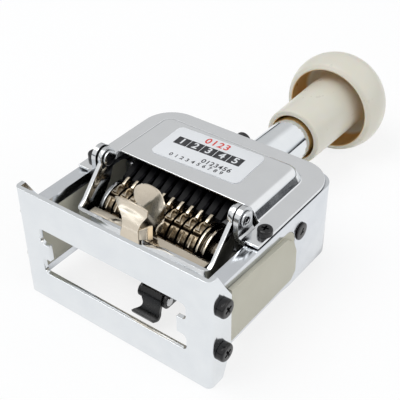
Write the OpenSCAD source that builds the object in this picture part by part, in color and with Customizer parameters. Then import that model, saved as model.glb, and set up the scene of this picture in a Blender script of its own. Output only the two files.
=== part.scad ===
// Hand numbering machine, lying on its back with the base plate facing -Y and the push knob at +Y.
// X is the width, Z is up towards the cover, and every y below counts from the base plate's outer face.

/* [Overall] */
// Height of the push knob's axis over the surface the machine lies on
axis_z = 23.4; // [23.3:0.1:25]
// Stroke of the push knob and printing head
stroke = 24; // [18:1:24]
// Gap between parts that slide past each other
slide_gap = 0.3; // [0.2:0.05:0.5]
// Radial play of a pin or shaft in its bore
pin_play = 0.05; // [0.02:0.01:0.08]

/* [Frame] */
// Outer width of the frame
frame_w = 83; // [81:0.5:85]
// Thickness of the frame's side walls
wall_t = 5.5; // [4.5:0.25:6]
// Height of the frame's top face
frame_top_z = 40.9; // [40:0.1:41.5]
// Height of the frame's lower edge
frame_low_z = 8.8; // [7:0.2:9.4]
// Rear face of the frame
frame_rear_y = 82; // [80:0.5:84]
// Thickness of the frame's rear wall
rear_wall_t = 8; // [6:0.5:9]
// Radius of the frame's rear corners
frame_corner_r = 7; // [4:0.5:9]
// Lower edge of the side slots
slot_low_z = 12.8; // [12:0.1:13.6]
// Upper edge of the side slots
slot_top_z = 36.5; // [35.5:0.1:37]
// Rear end of the side slots
slot_rear_y = 53.7; // [52:0.1:54.5]
// Radius of the side slots' rear corners
slot_corner_r = 6; // [2:0.5:8]
// Thickness of the web left in front of each side slot
post_t = 3; // [2:0.25:3.5]
// Rear end of the relief under the lower legs
leg_rear_y = 46; // [44:0.5:48]
// Width of the cross rail between the lower legs, along y
rail_w = 5; // [4:0.5:6]
// Front face of the cross rail
rail_front_y = 22; // [21.5:0.25:24]

/* [Slot liners] */
// How far the liners stand out of the frame's sides
liner_proud = 1.6; // [1:0.1:2]
// Play round a liner in its slot
liner_play = 0.1; // [0.05:0.05:0.2]

/* [Base plate] */
// Thickness of the base plate
plate_t = 1.8; // [1.2:0.1:2]
// Height of the base plate
plate_h = 49.2; // [48:0.2:50]
// Length of the side tabs along y, from the outer face
tab_len = 12; // [11:0.5:12]
// Outer radius of the bends
bend_r = 2.4; // [2:0.1:3]
// Half length of the window between its middle lands
window_land_x = 29.4; // [28:0.2:31]
// Half length of the window at its corner reliefs
window_relief_x = 33.4; // [31.5:0.2:35]
// Lower edge of the window
window_low_z = 13.6; // [12.8:0.1:14]
// Upper edge of the window
window_top_z = 34.8; // [34:0.1:36]
// Height of the middle lands at the window's ends
land_h = 7; // [5:0.5:9]
// Height at which the side tabs reach their full length
tab_low_z = 14.5; // [13:0.5:15]
// Height at which the side tabs begin to narrow again
tab_high_z = 36; // [35:0.5:38]

/* [Screws] */
// Head radius of the screws in the tabs
tab_screw_r = 3.5; // [3:0.1:4.2]
// Height of the upper tab screws
tab_screw_top_z = 35; // [33:0.5:36]
// Height of the lower tab screws
tab_screw_low_z = 14.8; // [14:0.2:17]
// Distance of the tab screws from the base plate's face
tab_screw_y = 6.3; // [5:0.1:7]
// Height of the heads in the tabs
tab_head_h = 2.6; // [1.8:0.1:3]
// Head radius of the cover screws
cover_screw_r = 2.8; // [2.4:0.1:3.2]
// Distance of the cover screws from the middle
cover_screw_x = 39; // [38.4:0.1:39.4]
// Distance of the cover screws from the base plate's face
cover_screw_y = 37.4; // [36.6:0.1:38.4]
// Height of the cover screws' heads
cover_head_h = 2.4; // [1.6:0.1:3]
// Head radius of the side screws
side_screw_r = 3.4; // [2.8:0.1:3.6]
// Distance of the side screws behind the side slots
side_screw_back = 4.1; // [4:0.1:6]
// Height of the side screws
side_screw_z = 31.4; // [28:0.2:33]
// Height of the side screws' heads
side_head_h = 0.9; // [0.7:0.1:1.6]
// Position of the rear screw across the machine
rear_screw_x = -2.9; // [-6:0.1:6]
// Depth of the rear screw's middle under the frame's top face
rear_screw_drop = 2; // [2:0.1:3]
// Head radius of the rear screw
rear_screw_r = 3.6; // [3:0.1:3.8]
// Height of the rear screw's head
rear_head_h = 2.2; // [1.6:0.1:3]
// Shank radius of every small screw
shank_r = 1.5; // [1:0.1:1.8]

/* [Cover] */
// Half width of the cover's flange
cover_half_w = 42; // [41.5:0.1:42.5]
// Sheet thickness of the cover
cover_t = 1.6; // [1.2:0.1:2]
// Front edge of the cover's ears
ear_front_y = 30.1; // [29:0.1:31.5]
// Rear edge of the cover
cover_rear_y = 83.5; // [82.5:0.25:84.5]
// Corner radius of the cover at the rear
cover_corner_r = 13; // [8:0.5:16]
// Height of the plateau's top face
plateau_top_z = 47.2; // [46.6:0.1:48.4]
// Front edge of the plateau
plateau_front_y = 41.6; // [40.8:0.1:43]
// Foot of the plateau's rear slope
plateau_rear_y = 75.2; // [73:0.2:77]
// Half width of the plateau's top face
plateau_top_half_w = 30.3; // [28:0.2:31]
// Half width of the plateau's foot
plateau_foot_half_w = 33.3; // [32:0.1:34.5]
// Length of the plateau's rear slope along y
plateau_rear_slope = 3.2; // [2:0.2:5]
// Corner radius of the plateau at the rear
plateau_corner_r = 4; // [3:0.25:6]
// Sheet thickness of the plateau, thinned by drawing
plateau_sheet_t = 1.12; // [0.9:0.02:1.3]

/* [Label] */
// Half width of the label
label_half_w = 19.6; // [16:0.2:22]
// Half depth of the label, along y
label_half_d = 10.3; // [8:0.1:12]
// Corner radius of the label
label_corner_r = 2.4; // [1:0.1:3]
// Thickness of the label
label_t = 0.3; // [0.1:0.05:0.4]
// Middle of the label, across the machine
label_x = -1.2; // [-3:0.1:3]
// Middle of the label, from the base plate's face
label_y = 58.9; // [56:0.1:60]
// Angle of the label on the cover
label_turn = 2.5; // [-3:0.5:3]

/* [Ink arms] */
// Distance of the arm pivots from the base plate's face
pivot_y = 33.9; // [33.5:0.1:34.3]
// Height of the arm pivots
pivot_z = 48.6; // [48.4:0.1:49.5]
// Thickness of each arm
arm_t = 1.6; // [1.4:0.1:1.8]
// Gap between the arms and the head's side plates
head_gap = 1.7; // [1.4:0.1:1.9]
// Outer radius of the bends between the arms and their cross bar
arm_bend_r = 2.6; // [1.8:0.1:3.4]
// Radius of the arms round their pivots
arm_eye_r = 3.9; // [3.4:0.1:4.2]
// Distance of the arms' front edges from the middle of their pivots
arm_front_w = 2.2; // [1.8:0.1:3]
// Radius of the pivot screws
pivot_r = 2; // [1.6:0.1:2.2]
// Gap between the arms and the cover's lugs
arm_gap = 0.8; // [0.5:0.1:1]
// Thickness of the cover's lugs
lug_t = 2; // [1.6:0.1:2.2]
// Radius of the lugs round the pivots
lug_r = 4.3; // [3.8:0.1:4.5]
// Front face of the arms' cross bar
bar_front_y = 16; // [15.8:0.1:16.4]
// Thickness of the cross bar
bar_t = 1.6; // [1.2:0.1:1.8]
// Upper edge of the cross bar
bar_top_z = 35.4; // [34.6:0.1:36]
// Depth of the cross bar along z
bar_h = 4; // [3:0.25:5]

/* [Ink pad] */
// Gap between the pad holder's ends and the arms
holder_gap = 2.2; // [1.8:0.1:3.5]
// Front face of the pad holder
holder_front_y = 18.2; // [18:0.1:18.6]
// Upper edge of the pad holder
holder_top_z = 33.6; // [32.6:0.1:34.2]
// Lower edge of the pad holder
holder_low_z = 21; // [20.6:0.1:22]
// Sheet thickness of the pad holder
holder_t = 0.8; // [0.5:0.1:1]
// Gap between the ink pad and the number wheels at rest
pad_gap = 0.4; // [0.3:0.1:0.6]
// Rim width of the front finger tab
tab_rim_w = 14.6; // [12:0.2:15]
// Rim width of the rear finger tab
rear_rim_w = 15.8; // [12:0.2:16.4]
// Neck width of the finger tabs
tab_neck_w = 8.4; // [6.4:0.2:8.6]
// Middle of the front finger tab's foot, across the machine
front_foot_x = -3.3; // [-3.4:0.1:-2]
// Middle of the front finger tab's rim, across the machine
front_rim_x = 0.9; // [0:0.1:1.2]
// How far the hook reaches back over the cross bar from the front finger tab
hook_reach = 5.6; // [5:0.1:6]
// Sheet thickness of the finger tabs
tab_t = 0.8; // [0.6:0.1:1]
// Height of the front finger tab's rim
front_tab_z = 53.2; // [50:0.2:54]
// Height of the rear finger tab's rim
rear_tab_z = 53.8; // [52:0.2:55]

/* [Number wheels] */
// How many number wheels there are
wheel_count = 10; // [8:1:10]
// Pitch of the number wheels along their shaft
wheel_pitch = 4.3; // [4.1:0.05:4.35]
// Play at the left-hand end of the number wheels
end_play = 0.4; // [0.3:0.1:0.8]
// Length of the ring and step disc at the right-hand end of the wheels
end_ring_w = 7.8; // [6:0.1:8]
// Thickness of the ring and of the step disc there
end_disc_t = 1; // [0.8:0.1:1.4]
// Radius over the raised figures
wheel_r = 11; // [10:0.1:11.2]
// Height of the raised figures
figure_h = 0.7; // [0.4:0.1:1]
// Width of a wheel's figure ring
figure_w = 3; // [2.6:0.1:3.2]
// Radius of a wheel's ratchet ring
ratchet_r = 8.6; // [7.5:0.1:9]
// Distance of the wheel shaft from the base plate's face
wheel_y = 34.5; // [34.3:0.1:35.5]
// Height of the wheel shaft
wheel_z = 26.5; // [25.5:0.1:27]
// Radius of the wheel shaft
wheel_shaft_r = 3; // [2.5:0.1:3.5]

/* [Printing head] */
// Thickness of the head's side plates
head_plate_t = 1.5; // [1.2:0.1:1.7]
// Radius of the side plates' round ends
head_plate_r = 10.9; // [10:0.1:11]
// Front face of the head's yoke
yoke_front_y = 50.5; // [49.5:0.25:52]
// Rear face of the head's yoke
yoke_rear_y = 58; // [57:0.25:60]
// Lower face of the head's yoke
yoke_low_z = 14.4; // [14.2:0.1:15]
// Upper face of the head's yoke
yoke_top_z = 36.4; // [35:0.2:36.6]
// Radius of the plunger rod
rod_r = 4; // [3.5:0.1:4.2]
// How far the rod goes into the knob, past the middle of its dome
rod_grip = 4; // [3:0.5:6]
// Width of the rod's collar
collar_w = 3; // [2:0.25:4]
// Front edge of the comb over the wheels
comb_front_y = 37; // [36.5:0.1:38]
// Thickness of a comb tooth
comb_tooth_w = 2.6; // [2.2:0.1:2.8]
// Gap between the comb and the number wheels
comb_gap = 0.4; // [0.3:0.1:0.6]
// Upper face of the comb
comb_top_z = 43.6; // [42.6:0.1:44.4]
// Distance of the pawl shaft behind the wheel shaft
pawl_back = 10.5; // [10:0.1:11]
// Height of the pawl shaft over the wheel shaft
pawl_up = 13.6; // [13.4:0.1:14]
// Radius of the pawl shaft
pawl_shaft_r = 1.2; // [1:0.1:1.3]

/* [Guide tube and knob] */
// Outer radius of the guide tube
tube_r = 9.6; // [9.2:0.1:9.9]
// Bore radius of the guide tube
tube_bore_r = 8; // [7.8:0.1:8.4]
// Rear end of the guide tube
tube_end_y = 142; // [138:0.5:143]
// Mouth of the knob's sleeve
sleeve_mouth_y = 119.3; // [116:0.1:122]
// Bore radius of the knob's sleeve
sleeve_bore_r = 10.5; // [10.2:0.1:10.9]
// Outer radius of the sleeve at its mouth
sleeve_mouth_r = 12.9; // [12.4:0.1:13.4]
// Outer radius of the sleeve inside the dome
sleeve_root_r = 13.8; // [13.4:0.1:14.4]
// Middle of the knob's dome
dome_y = 158; // [155:0.5:161]
// Radius of the dome across its axis
dome_r = 23.2; // [22:0.1:23.2]
// Radius of the dome along its axis
dome_len_r = 19.2; // [18:0.1:20]
// Open edge of the dome
dome_open_y = 149.3; // [148:0.1:150.5]
// Wall of the dome
dome_wall = 2.2; // [1.8:0.1:3]
// Depth of the ring recess between sleeve and dome
recess_depth = 15; // [8:0.5:16]

/* [Return spring] */
// Radius of the spring's coil, to the middle of the wire
spring_r = 6; // [5.8:0.1:6.4]
// Radius of the spring wire
spring_wire_r = 0.7; // [0.5:0.05:0.8]
// Turns of the spring
spring_turns = 12; // [8:1:13]

/* [Repeat lever] */
// Distance of the lever's pin from the base plate's face
lever_y = 16.5; // [16.2:0.1:17.5]
// Height of the lever's pin
lever_z = 11.7; // [11.2:0.1:11.8]
// Radius of the lever's pin
lever_pin_r = 1.7; // [1.4:0.1:1.8]
// Radius of the lever's hub
lever_hub_r = 2.9; // [2.6:0.1:3]
// Left end of the lever's hub
lever_left_x = 1.6; // [0:0.2:4]
// Right end of the lever's hub
lever_right_x = 11.2; // [10:0.2:13]
// Reach of the lever's tongue from its pin
lever_reach = 9.6; // [8:0.2:10]
// Thickness of the lever's tongue
lever_t = 2; // [1.4:0.1:2.4]
// Angle of the tongue at rest, below the line from the pin to the rail
lever_angle = 125.5; // [120:0.5:130]
// Thickness of the bracket's ears
ear_t = 1.2; // [1:0.1:1.4]

/* [Hidden] */
WHEEL_NODES = [for (i = [1 : wheel_count]) str("number_wheel_", i)];

$fn = 96;
eps = 0.01;
overall_len = dome_y + dome_len_r;
wall_x = frame_w / 2;
wall_in_x = wall_x - wall_t;
rear_wall_y = frame_rear_y - rear_wall_t;
cover_z = frame_top_z + cover_t;
tab_in_x = wall_x;
tab_out_x = wall_x + plate_t;
slot_front_y = tab_len + liner_play;
side_screw_y = slot_rear_y + side_screw_back;
lower_leg_z = frame_low_z + 1;
rail_top_z = wheel_z - wheel_r - 2;
tube_seat_y = frame_rear_y - 4;
arm_low_z = holder_low_z - 0.8;
front_tab_y = bar_front_y - slide_gap;
head_in_x = (wheel_count * wheel_pitch + end_play + end_ring_w) / 2;
head_half_w = head_in_x + head_plate_t;
arm_in_x = head_half_w + head_gap;
arm_out_x = arm_in_x + arm_t;
lug_in_x = arm_out_x + arm_gap;
lug_out_x = lug_in_x + lug_t;
cutout_half_w = lug_out_x - 0.2;
holder_half_l = arm_in_x - holder_gap;
first_wheel_x = figure_w / 2 + end_play - head_in_x + (wheel_count - 1) * wheel_pitch;
pad_face_y = wheel_y - wheel_r - pad_gap;
ratchet_w = wheel_pitch - figure_w - slide_gap;
disc_boss_r = wheel_shaft_r + 2.4;
comb_low_z = wheel_z + wheel_r + comb_gap;
comb_bend_y = yoke_front_y - 4;
pawl_y = wheel_y + pawl_back;
pawl_z = wheel_z + pawl_up;
spring_front_y = frame_rear_y + 4;
spring_rear_y = tube_end_y - 8;
ring_count = 8;
spring_steps = ring_count * spring_turns;

// Moves the machine so that its length is centred on the origin
module lay() {
    translate([0, -overall_len / 2, 0]) children();
}

// Both sides of the machine
module both_sides() {
    children();
    mirror([1, 0, 0]) children();
}

// A cylinder along +X from x0 to x1
module rod_x(x0, x1, r) {
    translate([x0, 0, 0]) rotate([0, 90, 0]) cylinder(h = x1 - x0, r = r);
}

// A cylinder along +Y from y0 to y1
module rod_y(y0, y1, r) {
    translate([0, y0, 0]) rotate([-90, 0, 0]) cylinder(h = y1 - y0, r = r);
}

// A shape drawn in y and z, from x0 to x1
module side_cut(x0, x1) {
    translate([x0, 0, 0]) rotate([90, 0, 90]) linear_extrude(height = x1 - x0) children();
}

// A shape drawn in x and z, from y0 to y1
module front_cut(y0, y1) {
    translate([0, y1, 0]) rotate([90, 0, 0]) linear_extrude(height = y1 - y0) children();
}

// A flat outline with round corners, from its four sides
module round_box(x0, x1, y0, y1, r) {
    translate([x0 + r, y0]) square([x1 - x0 - 2 * r, y1 - y0]);
    translate([x0, y0 + r]) square([x1 - x0, y1 - y0 - 2 * r]);
    for (x = [x0 + r, x1 - r], y = [y0 + r, y1 - r]) translate([x, y]) circle(r = r, $fn = 48);
}

// Outline that is square at the front and round at its rear corners
module rear_round(half_w, y0, y1, r) {
    translate([-half_w, y0]) square([2 * half_w, y1 - y0 - r]);
    translate([-half_w + r, y0]) square([2 * (half_w - r), y1 - y0]);
    for (x = [r - half_w, half_w - r]) translate([x, y1 - r]) circle(r = r);
}

// A screw head with a cross recess, lying in the x-y plane and facing +Z
module screw_head(r, h) {
    recess = h * 0.45;
    difference() {
        union() {
            cylinder(h = h * 0.55, r = r, $fn = 48);
            translate([0, 0, h * 0.55 - eps]) cylinder(h = h * 0.45, r1 = r, r2 = r * 0.72, $fn = 48);
        }
        for (a = [0, 90]) rotate(a) translate([-r * 0.5, -r * 0.13, h - recess]) cube([r, r * 0.26, h]);
    }
}

// A screw facing +X: its seat, the inner end of its shank, head radius and head height
module screw_x(seat_x, end_x, r, h) {
    translate([seat_x, 0, 0]) rotate([0, 90, 0]) screw_head(r, h);
    rod_x(end_x, seat_x + eps, shank_r);
}

module side_wall_slot() {
    side_cut(wall_in_x - 1, wall_x + 1)
        round_box(slot_front_y, slot_rear_y, slot_low_z, slot_top_z, slot_corner_r);
    side_cut(wall_in_x - 1, wall_x + 1)
        translate([slot_front_y, slot_low_z]) square([slot_corner_r * 2, slot_top_z - slot_low_z]);
    side_cut(wall_in_x - 1, wall_x - post_t)
        translate([plate_t + 1, slot_low_z]) square([slot_front_y, slot_top_z - slot_low_z]);
}

module frame() {
    color("silver") lay() difference() {
        union() {
            translate([0, 0, frame_low_z]) linear_extrude(height = frame_top_z - frame_low_z) difference() {
                rear_round(wall_x, plate_t, frame_rear_y, frame_corner_r);
                rear_round(wall_in_x, plate_t - 1, rear_wall_y, 2);
            }
            translate([-wall_in_x - 1, rail_front_y, frame_low_z])
                cube([2 * wall_in_x + 2, rail_w, rail_top_z - frame_low_z]);
        }
        both_sides() side_wall_slot();
        both_sides() side_cut(wall_in_x - 1, wall_x + 1)
            polygon([[0, frame_low_z - 1], [leg_rear_y + 2, frame_low_z - 1],
                     [leg_rear_y + 6, frame_low_z - eps],
                     [leg_rear_y, lower_leg_z], [0, lower_leg_z]]);
        translate([0, 0, axis_z]) rod_y(rear_wall_y - 1, frame_rear_y, rod_r + 2.5);
        translate([0, 0, axis_z]) rod_y(tube_seat_y, frame_rear_y + 4, tube_r);
        both_sides() translate([0, tab_screw_y, tab_screw_top_z]) rod_x(wall_in_x, wall_x + 1, shank_r);
        both_sides() translate([0, tab_screw_y, tab_screw_low_z]) rod_x(wall_in_x, wall_x + 1, shank_r);
        both_sides() translate([0, side_screw_y, side_screw_z]) rod_x(wall_x - 4.5, wall_x + 1, shank_r);
        both_sides() translate([cover_screw_x, cover_screw_y, frame_top_z - 4]) cylinder(h = 5, r = shank_r);
        translate([rear_screw_x, 0, frame_top_z - rear_screw_drop])
            rod_y(frame_rear_y - 5, frame_rear_y + 1, shank_r);
    }
}

// One liner, for the right-hand slot; its side facing out has a sloping upper edge
module slot_liner() {
    color([0.73, 0.72, 0.66]) {
        side_cut(wall_in_x, wall_x - eps)
            intersection() {
                round_box(slot_front_y - 20, slot_rear_y - liner_play, slot_low_z + liner_play,
                          slot_top_z - liner_play, slot_corner_r);
                translate([slot_front_y + liner_play, 0]) square([60, 60]);
            }
        side_cut(wall_in_x, wall_x - post_t - liner_play)
            translate([plate_t + 1 + liner_play, slot_low_z + liner_play])
                square([slot_front_y, slot_top_z - slot_low_z - 2 * liner_play]);
        side_cut(wall_x - eps * 2, wall_x + liner_proud)
            polygon([[slot_front_y + liner_play, slot_low_z + 1],
                     [slot_front_y + liner_play, slot_top_z + 0.9],
                     [slot_rear_y - 7.7, slot_top_z - 0.8], [slot_rear_y - 3.1, slot_top_z - 4.4],
                     [slot_rear_y - 0.8, slot_top_z - 10], [slot_rear_y - 0.6, slot_low_z + 4],
                     [slot_rear_y - 3.3, slot_low_z + 1.2]]);
    }
}

module slot_liner_left() { lay() mirror([1, 0, 0]) slot_liner(); }

module slot_liner_right() { lay() slot_liner(); }

module base_window() {
    mid_z = (window_low_z + window_top_z) / 2;
    translate([-window_land_x, window_low_z]) square([2 * window_land_x, window_top_z - window_low_z]);
    round_box(-window_relief_x, window_relief_x, mid_z + land_h / 2, window_top_z, 2);
    round_box(-window_relief_x, window_relief_x, window_low_z, mid_z - land_h / 2, 2);
}

module base_plate() {
    color("gainsboro") lay() difference() {
        intersection() {
            linear_extrude(height = plate_h) difference() {
                union() {
                    translate([-tab_out_x, bend_r]) square([2 * tab_out_x, tab_len - bend_r]);
                    translate([bend_r - tab_out_x, 0]) square([2 * (tab_out_x - bend_r), bend_r + 1]);
                    for (x = [bend_r - tab_out_x, tab_out_x - bend_r])
                        translate([x, bend_r]) circle(r = bend_r);
                }
                translate([-tab_in_x, plate_t]) square([2 * tab_in_x, tab_len]);
            }
            side_cut(-tab_out_x - 1, tab_out_x + 1)
                polygon([[-1, 0], [tab_len - 4.6, 0], [tab_len - 2.4, tab_low_z - 9], [tab_len, tab_low_z],
                         [tab_len, tab_high_z], [tab_len - 4.2, tab_high_z + 6.7],
                         [tab_len - 8.4, plate_h + 1], [-1, plate_h + 1]]);
        }
        front_cut(-1, plate_t + 1) base_window();
        both_sides() for (z = [tab_screw_top_z, tab_screw_low_z])
            translate([0, tab_screw_y, z]) rod_x(tab_in_x - 1, tab_out_x + 1, shank_r);
    }
}

module base_screws() {
    color("black") lay() both_sides() for (z = [tab_screw_top_z, tab_screw_low_z])
        translate([0, tab_screw_y, z]) screw_x(tab_out_x, wall_x - post_t + 0.4, tab_screw_r, tab_head_h);
}

// The plateau's outside when inset is 0, and its hollow when inset is the sheet's thickness
module plateau_body(inset) {
    top_z = plateau_top_z - inset;
    rear_y = plateau_rear_y - inset;
    intersection() {
        front_cut(plateau_front_y - (inset > 0 ? 1 : 0), rear_y)
            polygon([[-plateau_foot_half_w + inset, frame_top_z - (inset > 0 ? 1 : 0)],
                     [-plateau_foot_half_w + inset, cover_z - 0.4],
                     [-plateau_top_half_w + inset, top_z], [plateau_top_half_w - inset, top_z],
                     [plateau_foot_half_w - inset, cover_z - 0.4],
                     [plateau_foot_half_w - inset, frame_top_z - (inset > 0 ? 1 : 0)]]);
        side_cut(-plateau_foot_half_w, plateau_foot_half_w)
            polygon([[plateau_front_y - 2, frame_top_z - 2], [rear_y, frame_top_z - 2],
                     [rear_y, cover_z - 0.4], [rear_y - plateau_rear_slope, top_z],
                     [plateau_front_y - 2, top_z]]);
        translate([0, 0, frame_top_z - 2]) linear_extrude(height = 12)
            rear_round(plateau_foot_half_w - inset, plateau_front_y - 2, rear_y, plateau_corner_r);
    }
}

module cover() {
    color("darkgray") lay() difference() {
        union() {
            translate([0, 0, frame_top_z]) linear_extrude(height = cover_t) difference() {
                rear_round(cover_half_w, ear_front_y, cover_rear_y, cover_corner_r);
                translate([-cutout_half_w, 0]) square([2 * cutout_half_w, plateau_front_y]);
            }
            plateau_body(0);
            both_sides() side_cut(lug_in_x, lug_out_x) union() {
                translate([pivot_y - lug_r, frame_top_z]) square([2 * lug_r, pivot_z - frame_top_z]);
                translate([pivot_y, pivot_z]) circle(r = lug_r);
            }
            both_sides() translate([lug_in_x, ear_front_y, frame_top_z])
                cube([cutout_half_w - lug_in_x + 1, pivot_y + lug_r - ear_front_y, cover_t]);
        }
        plateau_body(plateau_sheet_t);
        both_sides() translate([0, pivot_y, pivot_z]) rod_x(lug_in_x - 1, lug_out_x + 1, pivot_r + pin_play);
        both_sides() translate([cover_screw_x, cover_screw_y, frame_top_z - 1])
            cylinder(h = cover_t + 2, r = shank_r);
    }
}

module cover_screws() {
    color("black") lay() both_sides() translate([cover_screw_x, cover_screw_y, cover_z]) {
        screw_head(cover_screw_r, cover_head_h);
        translate([0, 0, -cover_t - 3]) cylinder(h = cover_t + 3 + eps, r = shank_r);
    }
}

module side_screws() {
    color("black") lay() both_sides() translate([0, side_screw_y, side_screw_z])
        screw_x(wall_x, wall_x - 4, side_screw_r, side_head_h);
}

// The rear screw stands on a shoulder, so that its head clears the cover's rear edge
module rear_screw() {
    head_y = cover_rear_y + slide_gap;
    color("black") lay() translate([rear_screw_x, 0, frame_top_z - rear_screw_drop]) {
        translate([0, head_y, 0]) rotate([-90, 0, 0]) screw_head(rear_screw_r, rear_head_h);
        rod_y(frame_rear_y - 4.6, frame_rear_y + eps, shank_r);
        rod_y(frame_rear_y, head_y + eps, min(shank_r + 0.3, rear_screw_drop - 0.1));
    }
}

module label_plate() {
    color("white") lay() translate([label_x, label_y, plateau_top_z]) rotate(label_turn)
        linear_extrude(height = label_t)
            round_box(-label_half_w, label_half_w, -label_half_d, label_half_d, label_corner_r);
}

// Pivot screws with a socket head outside the lugs and a collar inside the arms
module arm_pivot_screws() {
    head_h = 0.9;
    socket_depth = 1.6;
    color("silver") lay() both_sides() translate([0, pivot_y, pivot_z]) difference() {
        union() {
            rod_x(arm_in_x - 1.2, lug_out_x + eps, pivot_r);
            rod_x(arm_in_x - 1.2, arm_in_x - 0.3, pivot_r + 1);
            rod_x(arm_out_x + 0.2, lug_in_x - 0.1, pivot_r + 1.2);
            rod_x(lug_out_x, lug_out_x + head_h, pivot_r + 1);
        }
        translate([lug_out_x + head_h - socket_depth, 0, 0]) rotate([0, 90, 0])
            cylinder(h = socket_depth + 1, r = pivot_r * 0.62, $fn = 6);
    }
}

module guide_tube() {
    color("gainsboro") lay() translate([0, 0, axis_z]) difference() {
        rod_y(tube_seat_y, tube_end_y, tube_r);
        rod_y(tube_seat_y - 1, tube_end_y + 1, tube_bore_r);
    }
}

module rod_bush() {
    color("goldenrod") lay() translate([0, 0, axis_z]) difference() {
        union() {
            rod_y(rear_wall_y, frame_rear_y, rod_r + 2.5);
            rod_y(tube_seat_y, spring_front_y - 0.4, tube_bore_r);
        }
        rod_y(rear_wall_y - 1, frame_rear_y + 6, rod_r + pin_play);
    }
}

module lever_bracket() {
    back_t = 1.4;
    left = lever_left_x - slide_gap - ear_t;
    right = lever_right_x + slide_gap;
    color("dimgray") lay() difference() {
        union() {
            for (x = [left, right]) side_cut(x, x + ear_t) {
                translate([lever_y, lever_z]) circle(r = lever_hub_r, $fn = 48);
                translate([lever_y, lever_z - lever_hub_r]) square([rail_front_y - lever_y, 2 * lever_hub_r]);
            }
            translate([left, rail_front_y - back_t, lever_z - lever_hub_r])
                cube([right + ear_t - left, back_t, 2 * lever_hub_r]);
        }
        translate([0, lever_y, lever_z]) rod_x(left - 1, right + ear_t + 1, lever_pin_r + pin_play);
    }
}

module lever_pin() {
    color("silver") lay() translate([0, lever_y, lever_z])
        rod_x(lever_left_x - slide_gap - ear_t - 0.8, lever_right_x + slide_gap + ear_t + 0.5, lever_pin_r);
}

module repeat_lever() {
    width = lever_right_x - lever_left_x;
    color("dimgray") lay() difference() {
        union() {
            translate([0, lever_y, lever_z]) rod_x(lever_left_x, lever_right_x, lever_hub_r);
            translate([lever_left_x, lever_y, lever_z]) rotate([-lever_angle, 0, 0])
                translate([0, 0, -lever_t / 2]) linear_extrude(height = lever_t)
                    polygon([[0, 0], [width, 0], [width - 1, lever_reach * 0.6], [width - 1.8, lever_reach],
                             [width * 0.4, lever_reach + 0.6], [-2.6, lever_reach],
                             [-1.2, lever_hub_r + lever_t + 1.1], [0, lever_hub_r + lever_t]]);
        }
        translate([0, lever_y, lever_z]) rod_x(lever_left_x - 1, lever_right_x + 1, lever_pin_r + pin_play);
    }
}

// Outline of one ink arm in y and z
module arm_outline() {
    polygon([[pivot_y - 0.73 * arm_front_w, pivot_z + 0.68 * arm_front_w],
             [bar_front_y + 4.1, bar_top_z + 1.5], [bar_front_y + 1.8, bar_top_z],
             [bar_front_y, bar_top_z],
             [bar_front_y, holder_low_z + 3.6], [holder_front_y + 2, arm_low_z],
             [holder_front_y + 4.4, arm_low_z], [holder_front_y + 4.4, holder_top_z - 7.6],
             [pivot_y - 3.9, pivot_z - 15.2],
             [pivot_y + 0.5, pivot_z - 9.8], [pivot_y + 3.7, pivot_z - 1.2]]);
    translate([pivot_y, pivot_z]) circle(r = arm_eye_r, $fn = 48);
}

// Outline of both arms and their cross bar from above, with round bends at its front corners
module arm_plan() {
    bend_x = arm_out_x - arm_bend_r;
    translate([-arm_out_x, bar_front_y + arm_bend_r]) square([2 * arm_out_x, pivot_y]);
    translate([-bend_x, bar_front_y]) square([2 * bend_x, pivot_y]);
    for (x = [-bend_x, bend_x]) translate([x, bar_front_y + arm_bend_r]) circle(r = arm_bend_r, $fn = 48);
}

module ink_arms() {
    color("silver") lay() difference() {
        union() {
            intersection() {
                union() {
                    both_sides() side_cut(arm_in_x, arm_out_x) arm_outline();
                    translate([-arm_in_x - 1, bar_front_y, bar_top_z - bar_h])
                        cube([2 * arm_in_x + 2, bar_t, bar_h]);
                }
                translate([0, 0, arm_low_z - 1]) linear_extrude(height = pivot_z) arm_plan();
            }
            both_sides() translate([holder_half_l - 3, bar_front_y + 0.6, holder_low_z + 1.8])
                cube([arm_in_x - holder_half_l + 4, holder_front_y - slide_gap - bar_front_y - 0.6, 6]);
            both_sides() translate([holder_half_l - 1, holder_front_y + 2, arm_low_z])
                cube([arm_in_x - holder_half_l + 2, 2.4, 0.6]);
        }
        both_sides() translate([0, pivot_y, pivot_z]) rod_x(arm_in_x - 1, arm_out_x + 1, pivot_r + pin_play);
        front_cut(bar_front_y - 1, bar_front_y + bar_t + 1) bar_notch();
    }
}

// The notch in the cross bar's upper edge, to the right of the front finger tab
module bar_notch() {
    x = front_foot_x + tab_neck_w / 2;
    polygon([[x + 1, bar_top_z + 1], [x + 1, bar_top_z - bar_h * 0.42], [x + 3.2, bar_top_z - bar_h * 0.42],
             [x + 10, bar_top_z], [x + 10, bar_top_z + 1]]);
}

module pad_holder() {
    rear_y = pad_face_y - 0.4;
    color([0.8, 0.75, 0.68]) lay() difference() {
        side_cut(-holder_half_l, holder_half_l)
            polygon([[holder_front_y, holder_top_z], [holder_front_y, holder_low_z + 1.6],
                     [holder_front_y + 2, holder_low_z],
                     [rear_y, holder_low_z], [rear_y, holder_top_z]]);
        translate([-holder_half_l + holder_t, holder_front_y + 2, holder_low_z + holder_t])
            cube([2 * (holder_half_l - holder_t), 10, holder_top_z - holder_low_z - 2 * holder_t]);
    }
}

module ink_pad() {
    play = 0.1;
    color([0.2, 0.2, 0.3]) lay()
        translate([-holder_half_l + holder_t + play, holder_front_y + 2, holder_low_z + holder_t + play])
            cube([2 * (holder_half_l - holder_t - play), pad_face_y - holder_front_y - 2,
                  holder_top_z - holder_low_z - 2 * (holder_t + play)]);
}

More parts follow.
